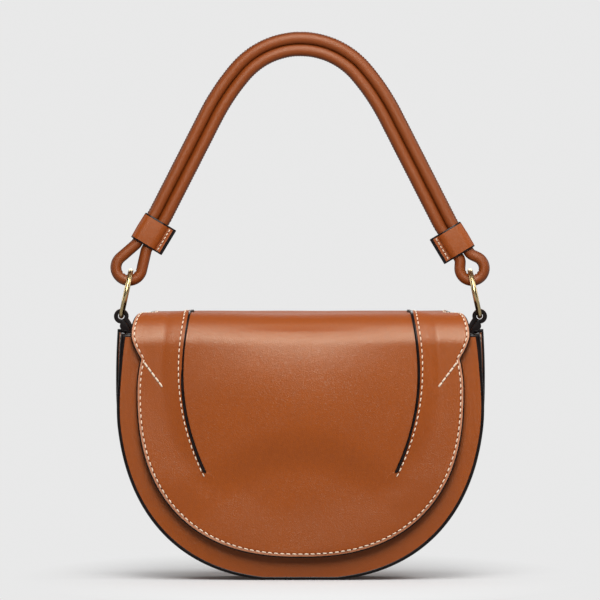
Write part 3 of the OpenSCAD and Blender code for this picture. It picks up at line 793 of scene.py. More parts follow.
def plate(edge, border, sides, columns, foot_t, end_t, fades, place, flip=False, slot_at=None):
    """A sheet over an outline: rows and columns within, and a border of loops at set insets, the widest
    inset first. sides lists t up the right side, columns(w, u) gives a row's places from its middle out,
    foot_t and end_t give t for a place in the first and the last row, fades says how far their curves reach
    into the sheet, and slot_at(inset) gives a border's slot."""
    bm = bmesh.new()
    widest = border[0]
    ends = [edge(t, widest) for t in sides]

    def full(row):
        return mirrored(row[1:]) + list(row)

    def rises(end, end_ts):
        return [edge(t, widest)[1] - end[1] for t in end_ts]

    first, last = (full(columns(*end)) for end in (ends[0], ends[-1]))
    foot_ts = [signed(x, foot_t(x, widest)) for x in first]
    end_ts = [signed(x, end_t(x, widest)) for x in last]
    foot_rise, end_rise = rises(ends[0], foot_ts), rises(ends[-1], end_ts)
    grid = []
    for w, u in ends:
        low = (1 - min(1.0, (u - ends[0][1]) / fades[0])) ** 2 if fades[0] else 0
        high = (1 - min(1.0, (ends[-1][1] - u) / fades[1])) ** 2 if fades[1] else 0
        row = [(x, u + a * low + b * high) for x, a, b in zip(full(columns(w, u)), foot_rise, end_rise)]
        grid.append([bm.verts.new(place(x, v, None)) for x, v in row])
    across, rows = len(grid[0]), len(grid)
    quads = [(grid[j][i], grid[j][i + 1], grid[j + 1][i + 1], grid[j + 1][i], 0)
             for j in range(rows - 1) for i in range(across - 1)]
    around = [(-t, grid[j][0]) for j, t in reversed(list(enumerate(sides)))]
    around += [(foot_ts[i], grid[0][i]) for i in range(1, across - 1)]
    around += [(t, grid[j][-1]) for j, t in enumerate(sides)]
    around += [(end_ts[i], grid[-1][i]) for i in range(across - 2, 0, -1)]
    inner = [vertex for _, vertex in around]
    for inset in border[1:]:
        outer = [bm.verts.new(place(*edge(t, inset), inset)) for t, _ in around]
        slot = slot_at(inset) if slot_at else 0
        quads += [(inner[k], outer[k], outer[(k + 1) % len(outer)], inner[(k + 1) % len(inner)], slot)
                  for k in range(len(outer))]
        inner = outer
    for *quad, slot in quads:
        face = bm.faces.new(reversed(quad) if flip else quad)
        face.material_index = slot
    return bm


def grid_sheet(name, rows, thick, round_r, makers):
    """A leather or cloth sheet over rows of points."""
    bm = bmesh.new()
    add_loops(bm, rows, closed_round=False)
    thicken(bm, thick, round_r)
    return finish_mesh(name, bm, makers)


# Stitching

def surface_normal(place, x, u):
    """Outward normal of a placed surface."""
    tiny = 0.2
    across = place(x + tiny, u) - place(x - tiny, u)
    along = place(x, u + tiny) - place(x, u - tiny)
    return across.cross(along).normalized()


def add_stitch(bm, line, normals, thick, slant):
    """One stitch along a short line of points, thickest in its middle and sunk at its ends."""
    thin, flat, sunk, raised = 0.35, 0.85, 0.22, 0.30
    rings = []
    count = len(line) - 1
    for i, (point, up) in enumerate(zip(line, normals)):
        share = i / count
        ahead = (line[min(i + 1, count)] - line[max(i - 1, 0)]).normalized()
        aside = ahead.cross(up).normalized()
        swell = max(0.0, 1 - (2 * share - 1) ** 4) ** 0.5
        radius = thick / 2 * (thin + (1 - thin) * swell)
        centre = point + up * (thick * (raised * swell - sunk)) + aside * (slant * (share - 0.5))
        rings.append([centre + radius * (aside * math.cos(turn) + up * flat * math.sin(turn))
                      for turn in circle(ROUND)])
    add_tube(bm, rings)


def add_hole(bm, centre, ahead, up, thick):
    """A dark plug of painted shade for the needle hole between two stitches, a little longer than wide."""
    aside = ahead.cross(up).normalized()
    long, rings = 1.5, []
    for lift, size in ((-0.35, 0.9), (0.03, 0.8), (0.07, 0.4)):
        rings.append([centre + up * lift * thick + size * thick / 2 * (
            ahead * long * math.cos(turn) + aside * math.sin(turn)) for turn in circle(ROUND)])
    add_tube(bm, rings, slot_at=lambda i, j: 1, cap_slot=1)


def stitch_row(bm, row, pitch, stitch, thick, slant=0.18):
    """Stitches at an even pitch along a row of points with their normals, and a needle hole, as a dark plug of
    painted shade, between each two.
    """
    parts, near, lengths = 6, 0.3, [0.0]
    for (a, _), (b, _) in zip(row, row[1:]):
        lengths.append(lengths[-1] + (b - a).length)
    count = max(1, round(lengths[-1] / pitch))
    pitch = lengths[-1] / count

    def at(distance):
        distance = min(max(distance, 0.0), lengths[-1])
        low = min(bisect_right(lengths, distance), len(lengths) - 1) - 1
        share = (distance - lengths[low]) / max(1e-9, lengths[low + 1] - lengths[low])
        (a, a_up), (b, b_up) = row[low], row[low + 1]
        return a.lerp(b, share), a_up.lerp(b_up, share).normalized()

    for i in range(count):
        start = i * pitch + (pitch - stitch) / 2
        found = [at(start + stitch * j / parts) for j in range(parts + 1)]
        add_stitch(bm, [f[0] for f in found], [f[1] for f in found], thick, slant)
        if i:
            place, up = at(i * pitch)
            ahead = (at(i * pitch + near)[0] - at(i * pitch - near)[0]).normalized()
            add_hole(bm, place, ahead, up, thick)


def thread_piece(name, rows, pitch=None, stitch=None, thick=None, slant=0.18):
    """One object with rows of stitches. A row is a list of (point, normal)."""
    bm = bmesh.new()
    for row in rows:
        stitch_row(bm, row, pitch or THREAD.pitch, stitch or THREAD.stitch, thick or THREAD.thick, slant)
    return finish_mesh(name, bm, (cream_thread, needle_hole), sharp=80)


# Body

def panel_dome(x, z, top_z):
    """How far a panel swells, nothing at its edge."""
    middle = 0.52 * top_z
    radius = math.hypot(x / (HALF_W - 3), (z - middle) / (middle - 2 if z < middle else top_z - middle))
    return BODY.dome * smooth_step(1 - radius) + wave((x, 0, z), 46, 0.25) * smooth_step(2 - 2 * radius)


def stitch_groove(inset, at, depth=0.16, half=0.5):
    """Furrow that the stitches draw into the leather."""
    return 0.0 if inset is None else -depth * max(0.0, 1 - abs(inset - at) / half)


def body_sides(curve_count=34, upright_count=10):
    """t up one side of the body, from beside the foot to the top corner."""
    return runs(0.36, curve_count, 1, upright_count, 2)


def half_moon_sheet(name, edge, border, sides, place, flip, thick, round_r, makers):
    """A sheet over an outline of the body."""
    def columns(w, u):
        return steps(0, w, 22)

    def foot_t(x, inset):
        return moon_share(x, HALF_W - inset, BODY.curve_power)

    def end_t(x, inset):
        return 3 - abs(x) / edge(2, inset)[0]

    bm = plate(edge, border, sides, columns, foot_t, end_t, (50, 0), place, flip)
    thicken(bm, thick, round_r)
    return finish_mesh(name, bm, makers)


def build_panel(name, side, top_z):
    """Front panel for side -1 or back panel for side 1."""
    face_y = side * HALF_D

    def place(x, z, inset):
        lift = 0.0 if inset is not None and inset < 2 else panel_dome(x, z, top_z)
        return Vector((x, face_y + side * lift, z))

    return half_moon_sheet(name, body_edge(face_y, top_z), [6, 4, 3, 2.4, 1.9, 1.2, 0.8], body_sides(), place,
                           side > 0, BODY.leather, 0.3, (tan_leather, edge_paint))


def build_rim(name, side, top_z):
    """The rounded painted rim where a panel and the gusset are sewn together. The front one spreads
    outwards at the mouth."""
    sunk, flare, flare_z, flare_rise, back_flare, middle_w = 0.15, 1.5, 126, 28, 0.4, 90
    sides, ends = body_sides(60, 16)[:-1], steps(2, 3, 30)
    ts = mirrored(sides) + steps(-sides[0], sides[0], 40)[1:-1] + sides + ends + mirrored(ends)[1:]
    loops = []
    for turn in circle(14):
        inset = BODY.rim_w * (1 - math.cos(turn))
        y = side * (HALF_D - (BODY.rim_d * (1 - math.sin(turn)) - sunk))
        edge = body_edge(y, top_z)
        outward = 0.5 + 0.5 * math.cos(turn)
        loop = []
        for t in ts:
            x, z = edge(t, inset)
            out = flare * smooth_step((z - flare_z) / flare_rise) * outward if side < 0 else back_flare
            loop.append(Vector((x + signed(x, out * min(1.0, abs(x) / middle_w)), y, z)))
        loops.append(loop)
    bm = bmesh.new()
    add_loops(bm, [[loop[i] for loop in loops] for i in range(len(ts))], closed_along=True)
    return finish_mesh(name, bm, (edge_paint,), sharp=60)


def gusset_place(deeper=0.0, span=None):
    """Surface of the gusset, by t along the rim and depth y: sunk in the middle, and raised to the welts."""
    reach = span or HALF_D - BODY.leather
    at_seam, welt_w, welt_fall = 0.8, 3.1, 1.6

    def place(t, y):
        hollow = 1 - (y / reach) ** 2
        sink = BODY.sag * hollow * (0.2 + 0.8 * smooth_step(abs(t)))
        sink *= 1 - smooth_step(abs(t) - 1)
        sink += wave((t * 160, y, 3), 40, 0.35) * hollow
        sink += at_seam + (BODY.welt - at_seam) * smooth_step((HALF_D - welt_w - abs(y)) / welt_fall)
        x, z = body_edge(y, SIDE_TOP)(t, sink + deeper)
        return Vector((x, y, z))
    return place


def build_gusset():
    """The band between the panels, with a furrow under each row of stitches."""
    place, groove = gusset_place(), gusset_place(0.16)
    near = [HALF_D - BODY.leather, 32.4, 31.8, 31.4, 31, 30.6, 30.2, 29.7, GUSSET_SEAM_Y, 28.7, 28.2]
    ys = [-y for y in near] + steps(-27, 27, 16) + near[::-1]
    rows = [[(groove if abs(y) == GUSSET_SEAM_Y else place)(t, y) for y in ys] for t in steps(-2, 2, 220)]
    return grid_sheet("gusset_leather", rows, BODY.gusset, 0.45, (tan_leather, edge_paint))


def upright_t(z):
    """t along the gusset at a height above the half-moon curve."""
    return 1 + (z - BODY.curve_z) / (SIDE_TOP - BODY.curve_z)


def gusset_thread():
    """Rows of stitches along both edges of the gusset, and a stitched box under each tab."""
    place = gusset_place()
    last_t, tiny, middle_z, rows = 1.98, 0.01, 90, []
    for y in (-GUSSET_SEAM_Y, GUSSET_SEAM_Y):
        row = []
        for t in steps(-last_t, last_t, 420):
            point = place(t, y)
            ahead = place(min(t + tiny, 2), y) - place(max(t - tiny, -2), y)
            normal = ahead.cross(Vector((0, 1, 0))).normalized()
            outward = normal.dot(Vector((point.x, 0, point.z - middle_z))) > 0
            row.append((point, normal if outward else -normal))
        rows.append(row)
    half = STRAP.tab_w / 2 - 1
    low, high = SIDE_TOP - STRAP.tab_tail + 2.5, SIDE_TOP - 3
    box = ((-half, high), (-half, low), (half, low), (half, high), (-half, high))
    for side in (-1, 1):
        for (y0, z0), (y1, z1) in zip(box, box[1:]):
            rows.append([(place(side * upright_t(z0 + (z1 - z0) * share), y0 + (y1 - y0) * share),
                          Vector((side, 0, 0))) for share in steps(0, 1, 8)])
    return thread_piece("gusset_thread", rows, pitch=3.2, stitch=2.3)


def build_lining_panel(name, side, top_z):
    """Twill on the inside of a panel."""
    face_y = side * (HALF_D - BODY.leather - BODY.board - BODY.lining)
    uneven, uneven_l = 0.12, 22

    def place(x, z, inset):
        return Vector((x, face_y - side * uneven * (1 + noise.noise(Vector((x, z, side)) / uneven_l)), z))

    return half_moon_sheet(name, body_edge(-HALF_D, top_z + LINING_INSET), [8, 6, 4.6, LINING_INSET],
                           body_sides(26, 6), place, side < 0, BODY.lining * 0.8, 0.1, (twill_lining,) * 2)


def build_lining_band():
    """Twill on the inside of the gusset."""
    reach = HALF_D - BODY.leather - BODY.board - BODY.lining
    top_t = upright_t(corners("gusset_lining")[1].z)
    place = gusset_place(BODY.gusset + 0.5, span=HALF_D)
    rows = [[place(t, y) for y in steps(-reach, reach, 12)] for t in steps(-top_t, top_t, 150)]
    return grid_sheet("gusset_twill", rows, BODY.lining * 0.8, 0.1, (twill_lining,) * 2)


def build_pocket():
    """Slip pocket on the back lining, its mouth slightly open, with a folded hem and its stitches."""
    low, high = corners("slip_pocket")
    round_r, swell, hem, seam = 12, 1.6, 0.95, 0.03

    def cloth(share_x, share_z, lift):
        x = low.x + (high.x - low.x) * share_x
        z = low.z + (high.z - low.z) * share_z
        from_side = min(x - low.x, high.x - x)
        if from_side < round_r:
            floor = low.z + round_r - math.sqrt(max(0.0, round_r ** 2 - (round_r - from_side) ** 2))
            z = floor + (high.z - floor) * share_z
        return Vector((x, low.y - lift - swell * math.sin(math.pi * share_x) * share_z ** 2, z))

    across = [0, 0.012, 0.03, 0.05, 0.08] + steps(0.12, 0.88, 16) + [0.92, 0.95, 0.97, 0.988, 1]
    up = steps(0, 0.9, 14) + [0.93, hem, 0.96, 1.0]
    rows = [[cloth(x, z, -0.25 if z == hem else 0.1) for x in across] for z in up]
    made = grid_sheet("pocket_twill", rows, BODY.lining, 0.25, (twill_lining,) * 2)
    side = steps(1, seam, 40)
    round_seam = ([(seam, z) for z in side] + [(x, seam) for x in steps(seam, 1 - seam, 60)]
                  + [(1 - seam, z) for z in side[::-1]])
    rows = [[(cloth(x, z, 0.15), Vector((0, -1, 0))) for x, z in path]
            for path in (round_seam, [(x, 0.93) for x in steps(0.02, 0.98, 60)])]
    return made, thread_piece("pocket_thread", rows, pitch=3.0, stitch=2.3, thick=0.5)


# Flap

def dart_x(path, u):
    """Half-width between the darts along the flap's profile."""
    middle, end = FLAP.dart_mid_z, FLAP.dart_end_z
    widest, top, low = FLAP.dart_w / 2, FLAP.dart_top_w / 2, FLAP.dart_end_w / 2
    if u >= path.roof_u:
        return top - (widest - top) * min(1.0, (u - path.roof_u) / (path.turn_u - path.roof_u))
    z = path.point(0, u, 0).z
    if z > middle:
        return widest - (widest - top) * ((z - middle) / (path.roof_z - middle)) ** 2
    return widest - (widest - low) * ((middle - max(z, end)) / (middle - end)) ** 2


def lap_height(path, x, u):
    """How far the side leather stands over the centre beside a dart, with a faint crease where it ends."""
    start, end = FLAP.dart_end_z, path.u_of_y(FLAP.dart_top_y)
    if u <= start or u >= end:
        return 0.0
    beside = abs(x) - dart_x(path, u)
    if beside < 0:
        return 0.0
    foot_fade, top_fade, crease_z, crease_rise, crease_w = 26, 12, 112, 20, 2.2
    along = smooth_step((u - start) / foot_fade) * smooth_step((end - u) / top_fade)
    reach = FLAP.lap_reach
    crease = 0.3 * smooth_step((u - crease_z) / crease_rise) * math.exp(-((beside - reach) / crease_w) ** 2)
    return along * (FLAP.lap * max(0.0, 1 - beside / reach) ** 1.25 - crease)


def flap_swell(path, x, u):
    """How the front of the flap fills out: full down to an arch between the darts' ends, hollow under it,
    flared towards its lower edge, and drawn in round the darts' ends."""
    low, end_x = FLAP.dart_end_z, FLAP.dart_end_w / 2
    arch_rise, slack, hollow_fall, side_x, side_w, side_fall = 29, 0.9, 30, 8, 76, 0.85
    flare_start, flare_w, flare_rise, drawn_in = 0.66, 0.36, 60, 0.55
    arch = low + arch_rise - arch_rise * min(1.0, (x / (end_x + 3)) ** 2)
    above = u - arch
    if above >= 0:
        fall = (FLAP.full + slack) * (above / (path.bend_u + 12 - arch)) ** 2.8
        height = max(FLAP.full - fall, -slack)
        height *= smooth_step((path.turn_u - 8 - u) / 18) if u > path.roof_u else 1.0
    else:
        height = FLAP.full - FLAP.hollow * smooth_step(-above / hollow_fall)
    height *= 1 - side_fall * smooth_step((abs(x) - side_x) / side_w)
    below = max(0.0, FLAP.curve_z - u)
    radius = math.hypot(x / (FLAP.width / 2), below / (FLAP.curve_z - FLAP_LOW))
    height += FLAP.flare * smooth_step((radius - flare_start) / flare_w) * smooth_step(below / flare_rise)
    beside_end = math.hypot((abs(x) - end_x + 2) / 13, (u - low + 7) / 11)
    return height - drawn_in * smooth_step(1 - beside_end)


def flap_relief(path, x, u, inset):
    """Height of the flap's leather over its plain profile. inset is None away from the flap's edge."""
    calm = 1.0 if inset is None else smooth_step(inset / 6)
    height = lap_height(path, x, u) + flap_swell(path, x, u)
    height += wave((x, u, 7), 38, 0.4) * calm + wave((x, u, 1), 90, 0.5) * calm
    beside_dart, dip, dip_w = abs(x) - dart_x(path, u), 0.25, 14
    if -dip_w < beside_dart < 0 and FLAP.dart_end_z < u < path.u_of_y(FLAP.dart_top_y):
        height -= dip * (1 + beside_dart / dip_w)
    height += stitch_groove(inset, THREAD.inset)
    if inset is not None and inset < FLAP.turned:
        height -= FLAP.turn_d * (1 - inset / FLAP.turned) ** 2
    return height


def flap_columns(path):
    """Places across a row, closer together beside the dart."""
    beside = [-9, -5, -2.6, -1.4, -0.5, 0, 0.03, 0.9, 1.5, 1.9, 2.3, 2.9, 3.6, 5, 7, 9, 11, 12.5, 14, 16]
    low = FLAP.dart_end_z

    def columns(w, u):
        middle = dart_x(path, u) if u >= low else dart_x(path, low) * min(1.0, w / 94)
        near = [middle + offset * min(1.0, (w - middle) / 21) for offset in beside]
        return ([near[0] * share for share in steps(0, 1, 12)[:-1]] + near
                + [near[-1] + (w - near[-1]) * share for share in steps(0, 1, 8)[1:]])
    return columns


def build_flap_sheet(name, depth, thick, start_inset, border, makers, round_r, relief):
    """The whole flap at a depth under its outer face, before it is parted at the roof."""
    path = FlapPath()
    outline = flap_edge(path)

    def edge(t, inset):
        return outline(t, inset + start_inset)

    def place(x, u, inset):
        height = flap_relief(path, x, u, inset if relief else None)
        return path.point(x, u, height - (0 if relief else lap_height(path, x, u)) - depth)

    def foot_t(x, inset):
        return moon_share(x, FLAP.width / 2 - inset - start_inset, FLAP.power)

    def end_t(x, inset):
        straight = edge(7, inset)[0]
        if abs(x) <= straight:
            return 8 - abs(x) / straight
        radius = edge(6, inset)[0] - straight
        return 6 + math.acos(min(1.0, (abs(x) - straight) / radius)) * 2 / math.pi

    def slot_at(inset):
        if not relief or inset >= FLAP.turned:
            return 0
        # slot 2 is the burnished strip, whose pale colour is a painted highlight
        return 1 if inset < FLAP.painted else 2

    sides = runs(0.46, 22, 1, 8, 2, 8, 3, 12, 4, 16, 5, 16, 6)
    bm = plate(edge, border, sides, flap_columns(path), foot_t, end_t, (26, 10), place, slot_at=slot_at)
    thicken(bm, thick, round_r)
    return finish_mesh(name, bm, makers)


def part_at_roof(made, front_name, back_name):
    """Parts the flap at the roof into a front piece and a back piece."""
    pieces = []
    for name, keep_front in ((front_name, True), (back_name, False)):
        bm = bmesh.new()
        bm.from_mesh(made.data)
        bmesh.ops.bisect_plane(bm, geom=bm.verts[:] + bm.edges[:] + bm.faces[:],
                               plane_co=(0, FLAP.split_y * MM, 0), plane_no=(0, 1, 0), clear_outer=keep_front,
                               clear_inner=not keep_front)
        bmesh.ops.holes_fill(bm, edges=[e for e in bm.edges if e.is_boundary], sides=0)
        mesh = bpy.data.meshes.new(name)
        bm.to_mesh(mesh)
        bm.free()
        for kept in made.data.materials:
            mesh.materials.append(kept)
        mesh.set_sharp_from_angle(angle=math.radians(40))
        pieces.append(link_object(name, mesh))
    bpy.data.objects.remove(made)
    return pieces


def bend_front(piece):
    """Bakes the transform of a piece at the flap's front into its mesh."""
    path = FlapPath()
    (path.bend_y + 10) * MM
    path.roof_z * MM
    path.front_y * MM
    path.bend_u * MM
    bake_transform(piece)


def bend_back(piece):
    """Bakes the transform of a piece at the flap's back into its mesh."""
    path = FlapPath()
    path.back_y * MM
    (path.roof_z - path.back_r - 4) * MM
    (path.turn_y - 3) * MM
    path.roof_z * MM
    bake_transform(piece)


def build_beads():
    """The painted edge of the side leather along each dart."""
    path = FlapPath()
    start, end = FLAP.dart_end_z, path.u_of_y(FLAP.dart_top_y)
    tip, root, beside, inward = 0.9, -0.6, 1.2, 0.1
    bm = bmesh.new()
    for side in (-1, 1):
        rings = []
        for u in runs(start, 6, start + tip, 140, end - tip, 6, end):
            taper = max(0.3, math.sqrt(1 - max(0.0, 1 - min(u - start, end - u) / tip) ** 2))
            rise = FLAP.bead_h * taper * (0.72 + 0.28 * smooth_step((u - start) / 36))
            width = FLAP.bead_w / 2 * taper
            x = dart_x(path, u)
            base = flap_relief(path, x - beside, u, None)
            rings.append([path.point(side * (x - inward + width * math.cos(turn)), u,
                                     base + (rise + root) / 2 + (rise - root) / 2 * math.sin(turn))
                          for turn in circle(14)])
        add_tube(bm, rings)
    return finish_mesh("dart_beads", bm, (edge_paint,), sharp=60)


def flap_row(path, points):
    """Points and normals on the flap for a list of (x, u)."""
    def place(x, u):
        return path.point(x, u, flap_relief(path, x, u, None))
    return [(place(x, u), surface_normal(place, x, u)) for x, u in points]


def flap_threads():
    """Stitches on the front piece and on the back piece of the flap."""
    path = FlapPath()
    edge = flap_edge(path)
    inset = THREAD.inset
    split_u = path.u_of_y(FLAP.split_y)

    def outline(ts):
        return [edge(t, inset) for t in ts]

    right = runs(0.0, 220, 1, 30, 2, 30, 3, 60, 4)
    right += [t for t in steps(4, 5, 60)[1:] if edge(t, inset)[1] < split_u]
    rows = [flap_row(path, outline(mirrored(right) + right[1:]))]
    start, end = FLAP.dart_end_z, path.u_of_y(FLAP.dart_top_y - 4)
    notches = []
    notch_top, notch_low = Vector((97.4, 135.8)), Vector((85.9, 120.4))
    beside, wider, wider_u, wider_rise, inward = 1.7, 0.6, 110, 40, 0.55
    for side in (-1, 1):
        points = []
        for u in steps(start - 3, end, 150):
            offset = beside + wider * smooth_step((u - wider_u) / wider_rise)
            points.append((side * (dart_x(path, max(u, start)) - inward * max(0.0, start - u) + offset), u))
        rows.append(flap_row(path, points))
        notch = [notch_top.lerp(notch_low, share) for share in steps(0, 1, 24)]
        notches.append(flap_row(path, [(side * p.x, p.y) for p in notch]))
    rest = [t for t in steps(4, 5, 60) if edge(t, inset)[1] > split_u] + runs(5, 80, 6, 40, 7, 60, 8)[1:]
    back = outline(rest) + [(-x, u) for x, u in reversed(outline(rest))][1:]
    return (thread_piece("flap_thread", rows),
            thread_piece("notch_thread", notches, pitch=3.6, stitch=3.9, thick=1.2, slant=0.1),
            thread_piece("strip_thread", [flap_row(path, back)]))


# Strap, keepers and tabs

class StrapRoute:
    """Centre lines of the cord in the XZ plane, as frames of a point and the way across the cord."""
    crown_slope = 49.5
    arm_slope = 63
    keeper_slope = 59
    keeper_dir, keeper_out = unit(-keeper_slope), unit(90 - keeper_slope)
    arm_dir, arm_out = unit(-arm_slope), unit(90 - arm_slope)
    crown_out = unit(90 - crown_slope)

    def __init__(self):
        ring_lean, loop_lean, clear, keeper_play = math.radians(12), 1.6, 0.6, 2
        self.cord_r = STRAP.cord / 2
        self.off = self.cord_r + STRAP.run_gap / 2
        low, high = corners("ring_right")
        wire_d = STRAP.wire_d
        ring_r = (high.y - low.y) / 2 - wire_d / 2
        eye_x, eye_z = HALF_W - STRAP.eye_inset, SIDE_TOP + STRAP.eye_rise
        self.eye = Vector((eye_x, eye_z))
        self.loop_x = eye_x - ring_r * math.sin(ring_lean) * loop_lean
        self.low_z = eye_z + 2 * ring_r * math.cos(ring_lean) - wire_d / 2 - clear - self.cord_r
        self.run = STRAP.keeper_l + keeper_play

    def loop_centre(self, loop_r):
        """Centre of a loop's round end."""
        return Vector((self.loop_x, self.low_z + loop_r))

    def fit(self, loop_r, reach):
        """Crown radius and arm length that lead from the crown to an end loop."""
        rest = (self.loop_centre(loop_r) - (self.run + reach) * self.keeper_dir
                - STRAP.bend_r * (self.arm_out - self.keeper_out)
                - STRAP.shoulder_r * (self.arm_out - self.crown_out) - Vector((0, STRAP.top_z)))
        down = Vector((rest.x, -rest.y))
        det = self.crown_out.x * self.arm_out.x - self.arm_dir.x * (1 - self.crown_out.y)
        return ((down.x * self.arm_out.x - down.y * self.arm_dir.x) / det,
                (down.y * self.crown_out.x - down.x * (1 - self.crown_out.y)) / det)

    @staticmethod
    def arc(centre, radius, start, end, side, spacing=0.9):
        """Frames along an arc, their way across pointing out of it for side 1."""
        count = max(2, int(abs(math.radians(end - start)) * radius / spacing))
        return [(centre + radius * unit(angle), side * unit(angle)) for angle in steps(start, end, count)]

    @staticmethod
    def straight(start, end, out, spacing=0.9):
        """Frames between two points, without the points themselves."""
        count = max(1, int((end - start).length / spacing))
        return [(start.lerp(end, share), out) for share in steps(0, 1, count)[1:-1]]

    def arm(self, fit, side):
        """One run from the crown down to a keeper's mouth."""
        crown_r, arm_l = fit
        shoulder_r, bend_r = STRAP.shoulder_r, STRAP.bend_r
        off = side * self.off
        crown_c = Vector((0, STRAP.top_z - crown_r))
        shoulder_c = crown_c + (crown_r - shoulder_r) * self.crown_out
        shoulder_end = shoulder_c + (shoulder_r + off) * self.arm_out
        bend_c = shoulder_c + (shoulder_r + bend_r) * self.arm_out + arm_l * self.arm_dir
        bend_start, bend_end = (bend_c - (bend_r - off) * out for out in (self.arm_out, self.keeper_out))
        return (self.arc(crown_c, crown_r + off, 90, 90 - self.crown_slope, side)
                + self.arc(shoulder_c, shoulder_r + off, 90 - self.crown_slope, 90 - self.arm_slope, side)[1:]
                + self.straight(shoulder_end, bend_start, side * self.arm_out)
                + self.arc(bend_c, bend_r - off, 270 - self.arm_slope, 270 - self.keeper_slope, -side)
                + self.straight(bend_end, bend_end + self.run * self.keeper_dir, side * self.keeper_out))

    def loop(self, loop_r, reach):
        """The end loop, from the outer run at a keeper's mouth round to the inner run: each run bends at the
        mouth and goes straight on to the round end."""
        flare = 6
        apart = math.hypot(reach, self.off + flare)
        angle = math.degrees(math.asin((flare + loop_r) / apart) - math.atan2(self.off + flare, reach))
        centre = self.loop_centre(loop_r)
        mouth = centre - reach * self.keeper_dir
        across = (self.off + flare) * self.keeper_out
        inward = 90 - self.keeper_slope
        leaving = self.arc(mouth + across, flare, inward + 180, inward + 180 + angle, -1, 0.5)
        round_end = self.arc(centre, loop_r, inward + angle, inward - 180 - angle, 1, 0.8)
        coming = self.arc(mouth - across, flare, inward - angle, inward, -1, 0.5)
        return (leaving + self.straight(leaving[-1][0], round_end[0][0], round_end[0][1], 0.8) + round_end
                + self.straight(round_end[-1][0], coming[0][0], round_end[-1][1], 0.8) + coming)

    def frames(self):
        """The whole endless cord, starting at the crown: a point, the way across, and 1 in an end loop or 0."""
        halves = []
        for loop_r, reach in ((STRAP.right_loop_r, STRAP.right_reach), (STRAP.left_loop_r, STRAP.left_reach)):
            fit = self.fit(loop_r, reach)
            parts = ((self.arm(fit, 1), 0.0), (self.loop(loop_r, reach), 1.0), (self.arm(fit, -1)[::-1], 0.0))
            halves.append([(p, n, in_loop) for part, in_loop in parts for p, n in part])
        right, left = halves
        flipped = [(Vector((-p.x, p.y)), Vector((-n.x, n.y)), in_loop) for p, n, in_loop in reversed(left)]
        return right[:-1] + flipped[:-1]


def build_cord():
    """The endless leather cord: thicker over its rope above the keepers, with a sewn ridge along its outer
    side, and creases on the inner side of its loops."""
    route = StrapRoute()
    frames = route.frames()
    blend, thin, thick, ridge_w, ridge_h, tooth = 6, 0.12, 0.26, 0.16, 0.08, 0.34
    crease_d, crease_pitch, uneven, uneven_l = 0.5, 3.1, 0.07, 9
    rope_z, rope_rise, ring_z, ring_fall = route.low_z + 24, 14, route.low_z + 9, 5
    travelled = 0.0
    rings = []
    for i, (point, out, _) in enumerate(frames):
        travelled += (point - frames[i - 1][0]).length
        window = [frames[(i + k) % len(frames)][2] for k in range(-blend, blend + 1)]
        in_loop = sum(window) / len(window)
        above = smooth_step((point.y - rope_z) / rope_rise)
        near_ring = smooth_step((ring_z - point.y) / ring_fall)
        crease = 0.5 - 0.5 * math.cos(2 * math.pi * travelled / crease_pitch + 0.8 * math.sin(travelled * 0.9))
        ring = []
        for turn in steps(0, 360, 28)[:-1]:
            aside = math.radians(turn)
            radius = route.cord_r - thin + thick * above
            ridge = math.exp(-((aside if aside < math.pi else aside - 2 * math.pi) / ridge_w) ** 2)
            radius += ridge * (ridge_h + tooth * (i % 2)) * above
            radius -= in_loop * max(0.0, -math.cos(aside)) ** 1.5 * crease_d * crease ** 3 * near_ring
            radius += uneven * noise.noise(Vector((travelled / uneven_l, math.cos(aside), math.sin(aside))))
            ring.append(Vector((point.x + radius * math.cos(aside) * out.x, radius * math.sin(aside),
                                point.y + radius * math.cos(aside) * out.y)))
        rings.append(ring)
    bm = bmesh.new()
    add_loops(bm, rings, closed_along=True)
    return finish_mesh("strap_cord", bm, (cord_leather,), sharp=70)


def keeper_outline(route, grow, turns, neck):
    """Outline of a keeper across the strap: round the outer run, over the inner run by turns, and on through
    the points of its neck."""
    slack = 0.15
    radius = route.cord_r + slack + grow
    outer = [Vector((route.off, 0)) + radius * unit(turn) for turn in steps(-90, 90, 16)]
    upper = [Vector((-route.off, 0)) + radius * unit(turn) for turn in turns] + [Vector(p) for p in neck]
    return outer + upper + [Vector((p.x, -p.y)) for p in reversed(upper)]


def keeper_section(route, grow, flange_share):
    """Outside of a keeper, with its flange on the inner side."""
    longer_tip = 1.4
    inner_edge = -route.off - route.cord_r
    tip = inner_edge - (STRAP.flange + longer_tip) * flange_share
    waist, thick = inner_edge - 1.2, STRAP.keeper_t
    return keeper_outline(route, grow, steps(90, 142, 8), [
        (waist, thick * 1.02), (waist - 1.2, thick), (tip + 2.0, thick), (tip + 0.1, thick * 0.7)])


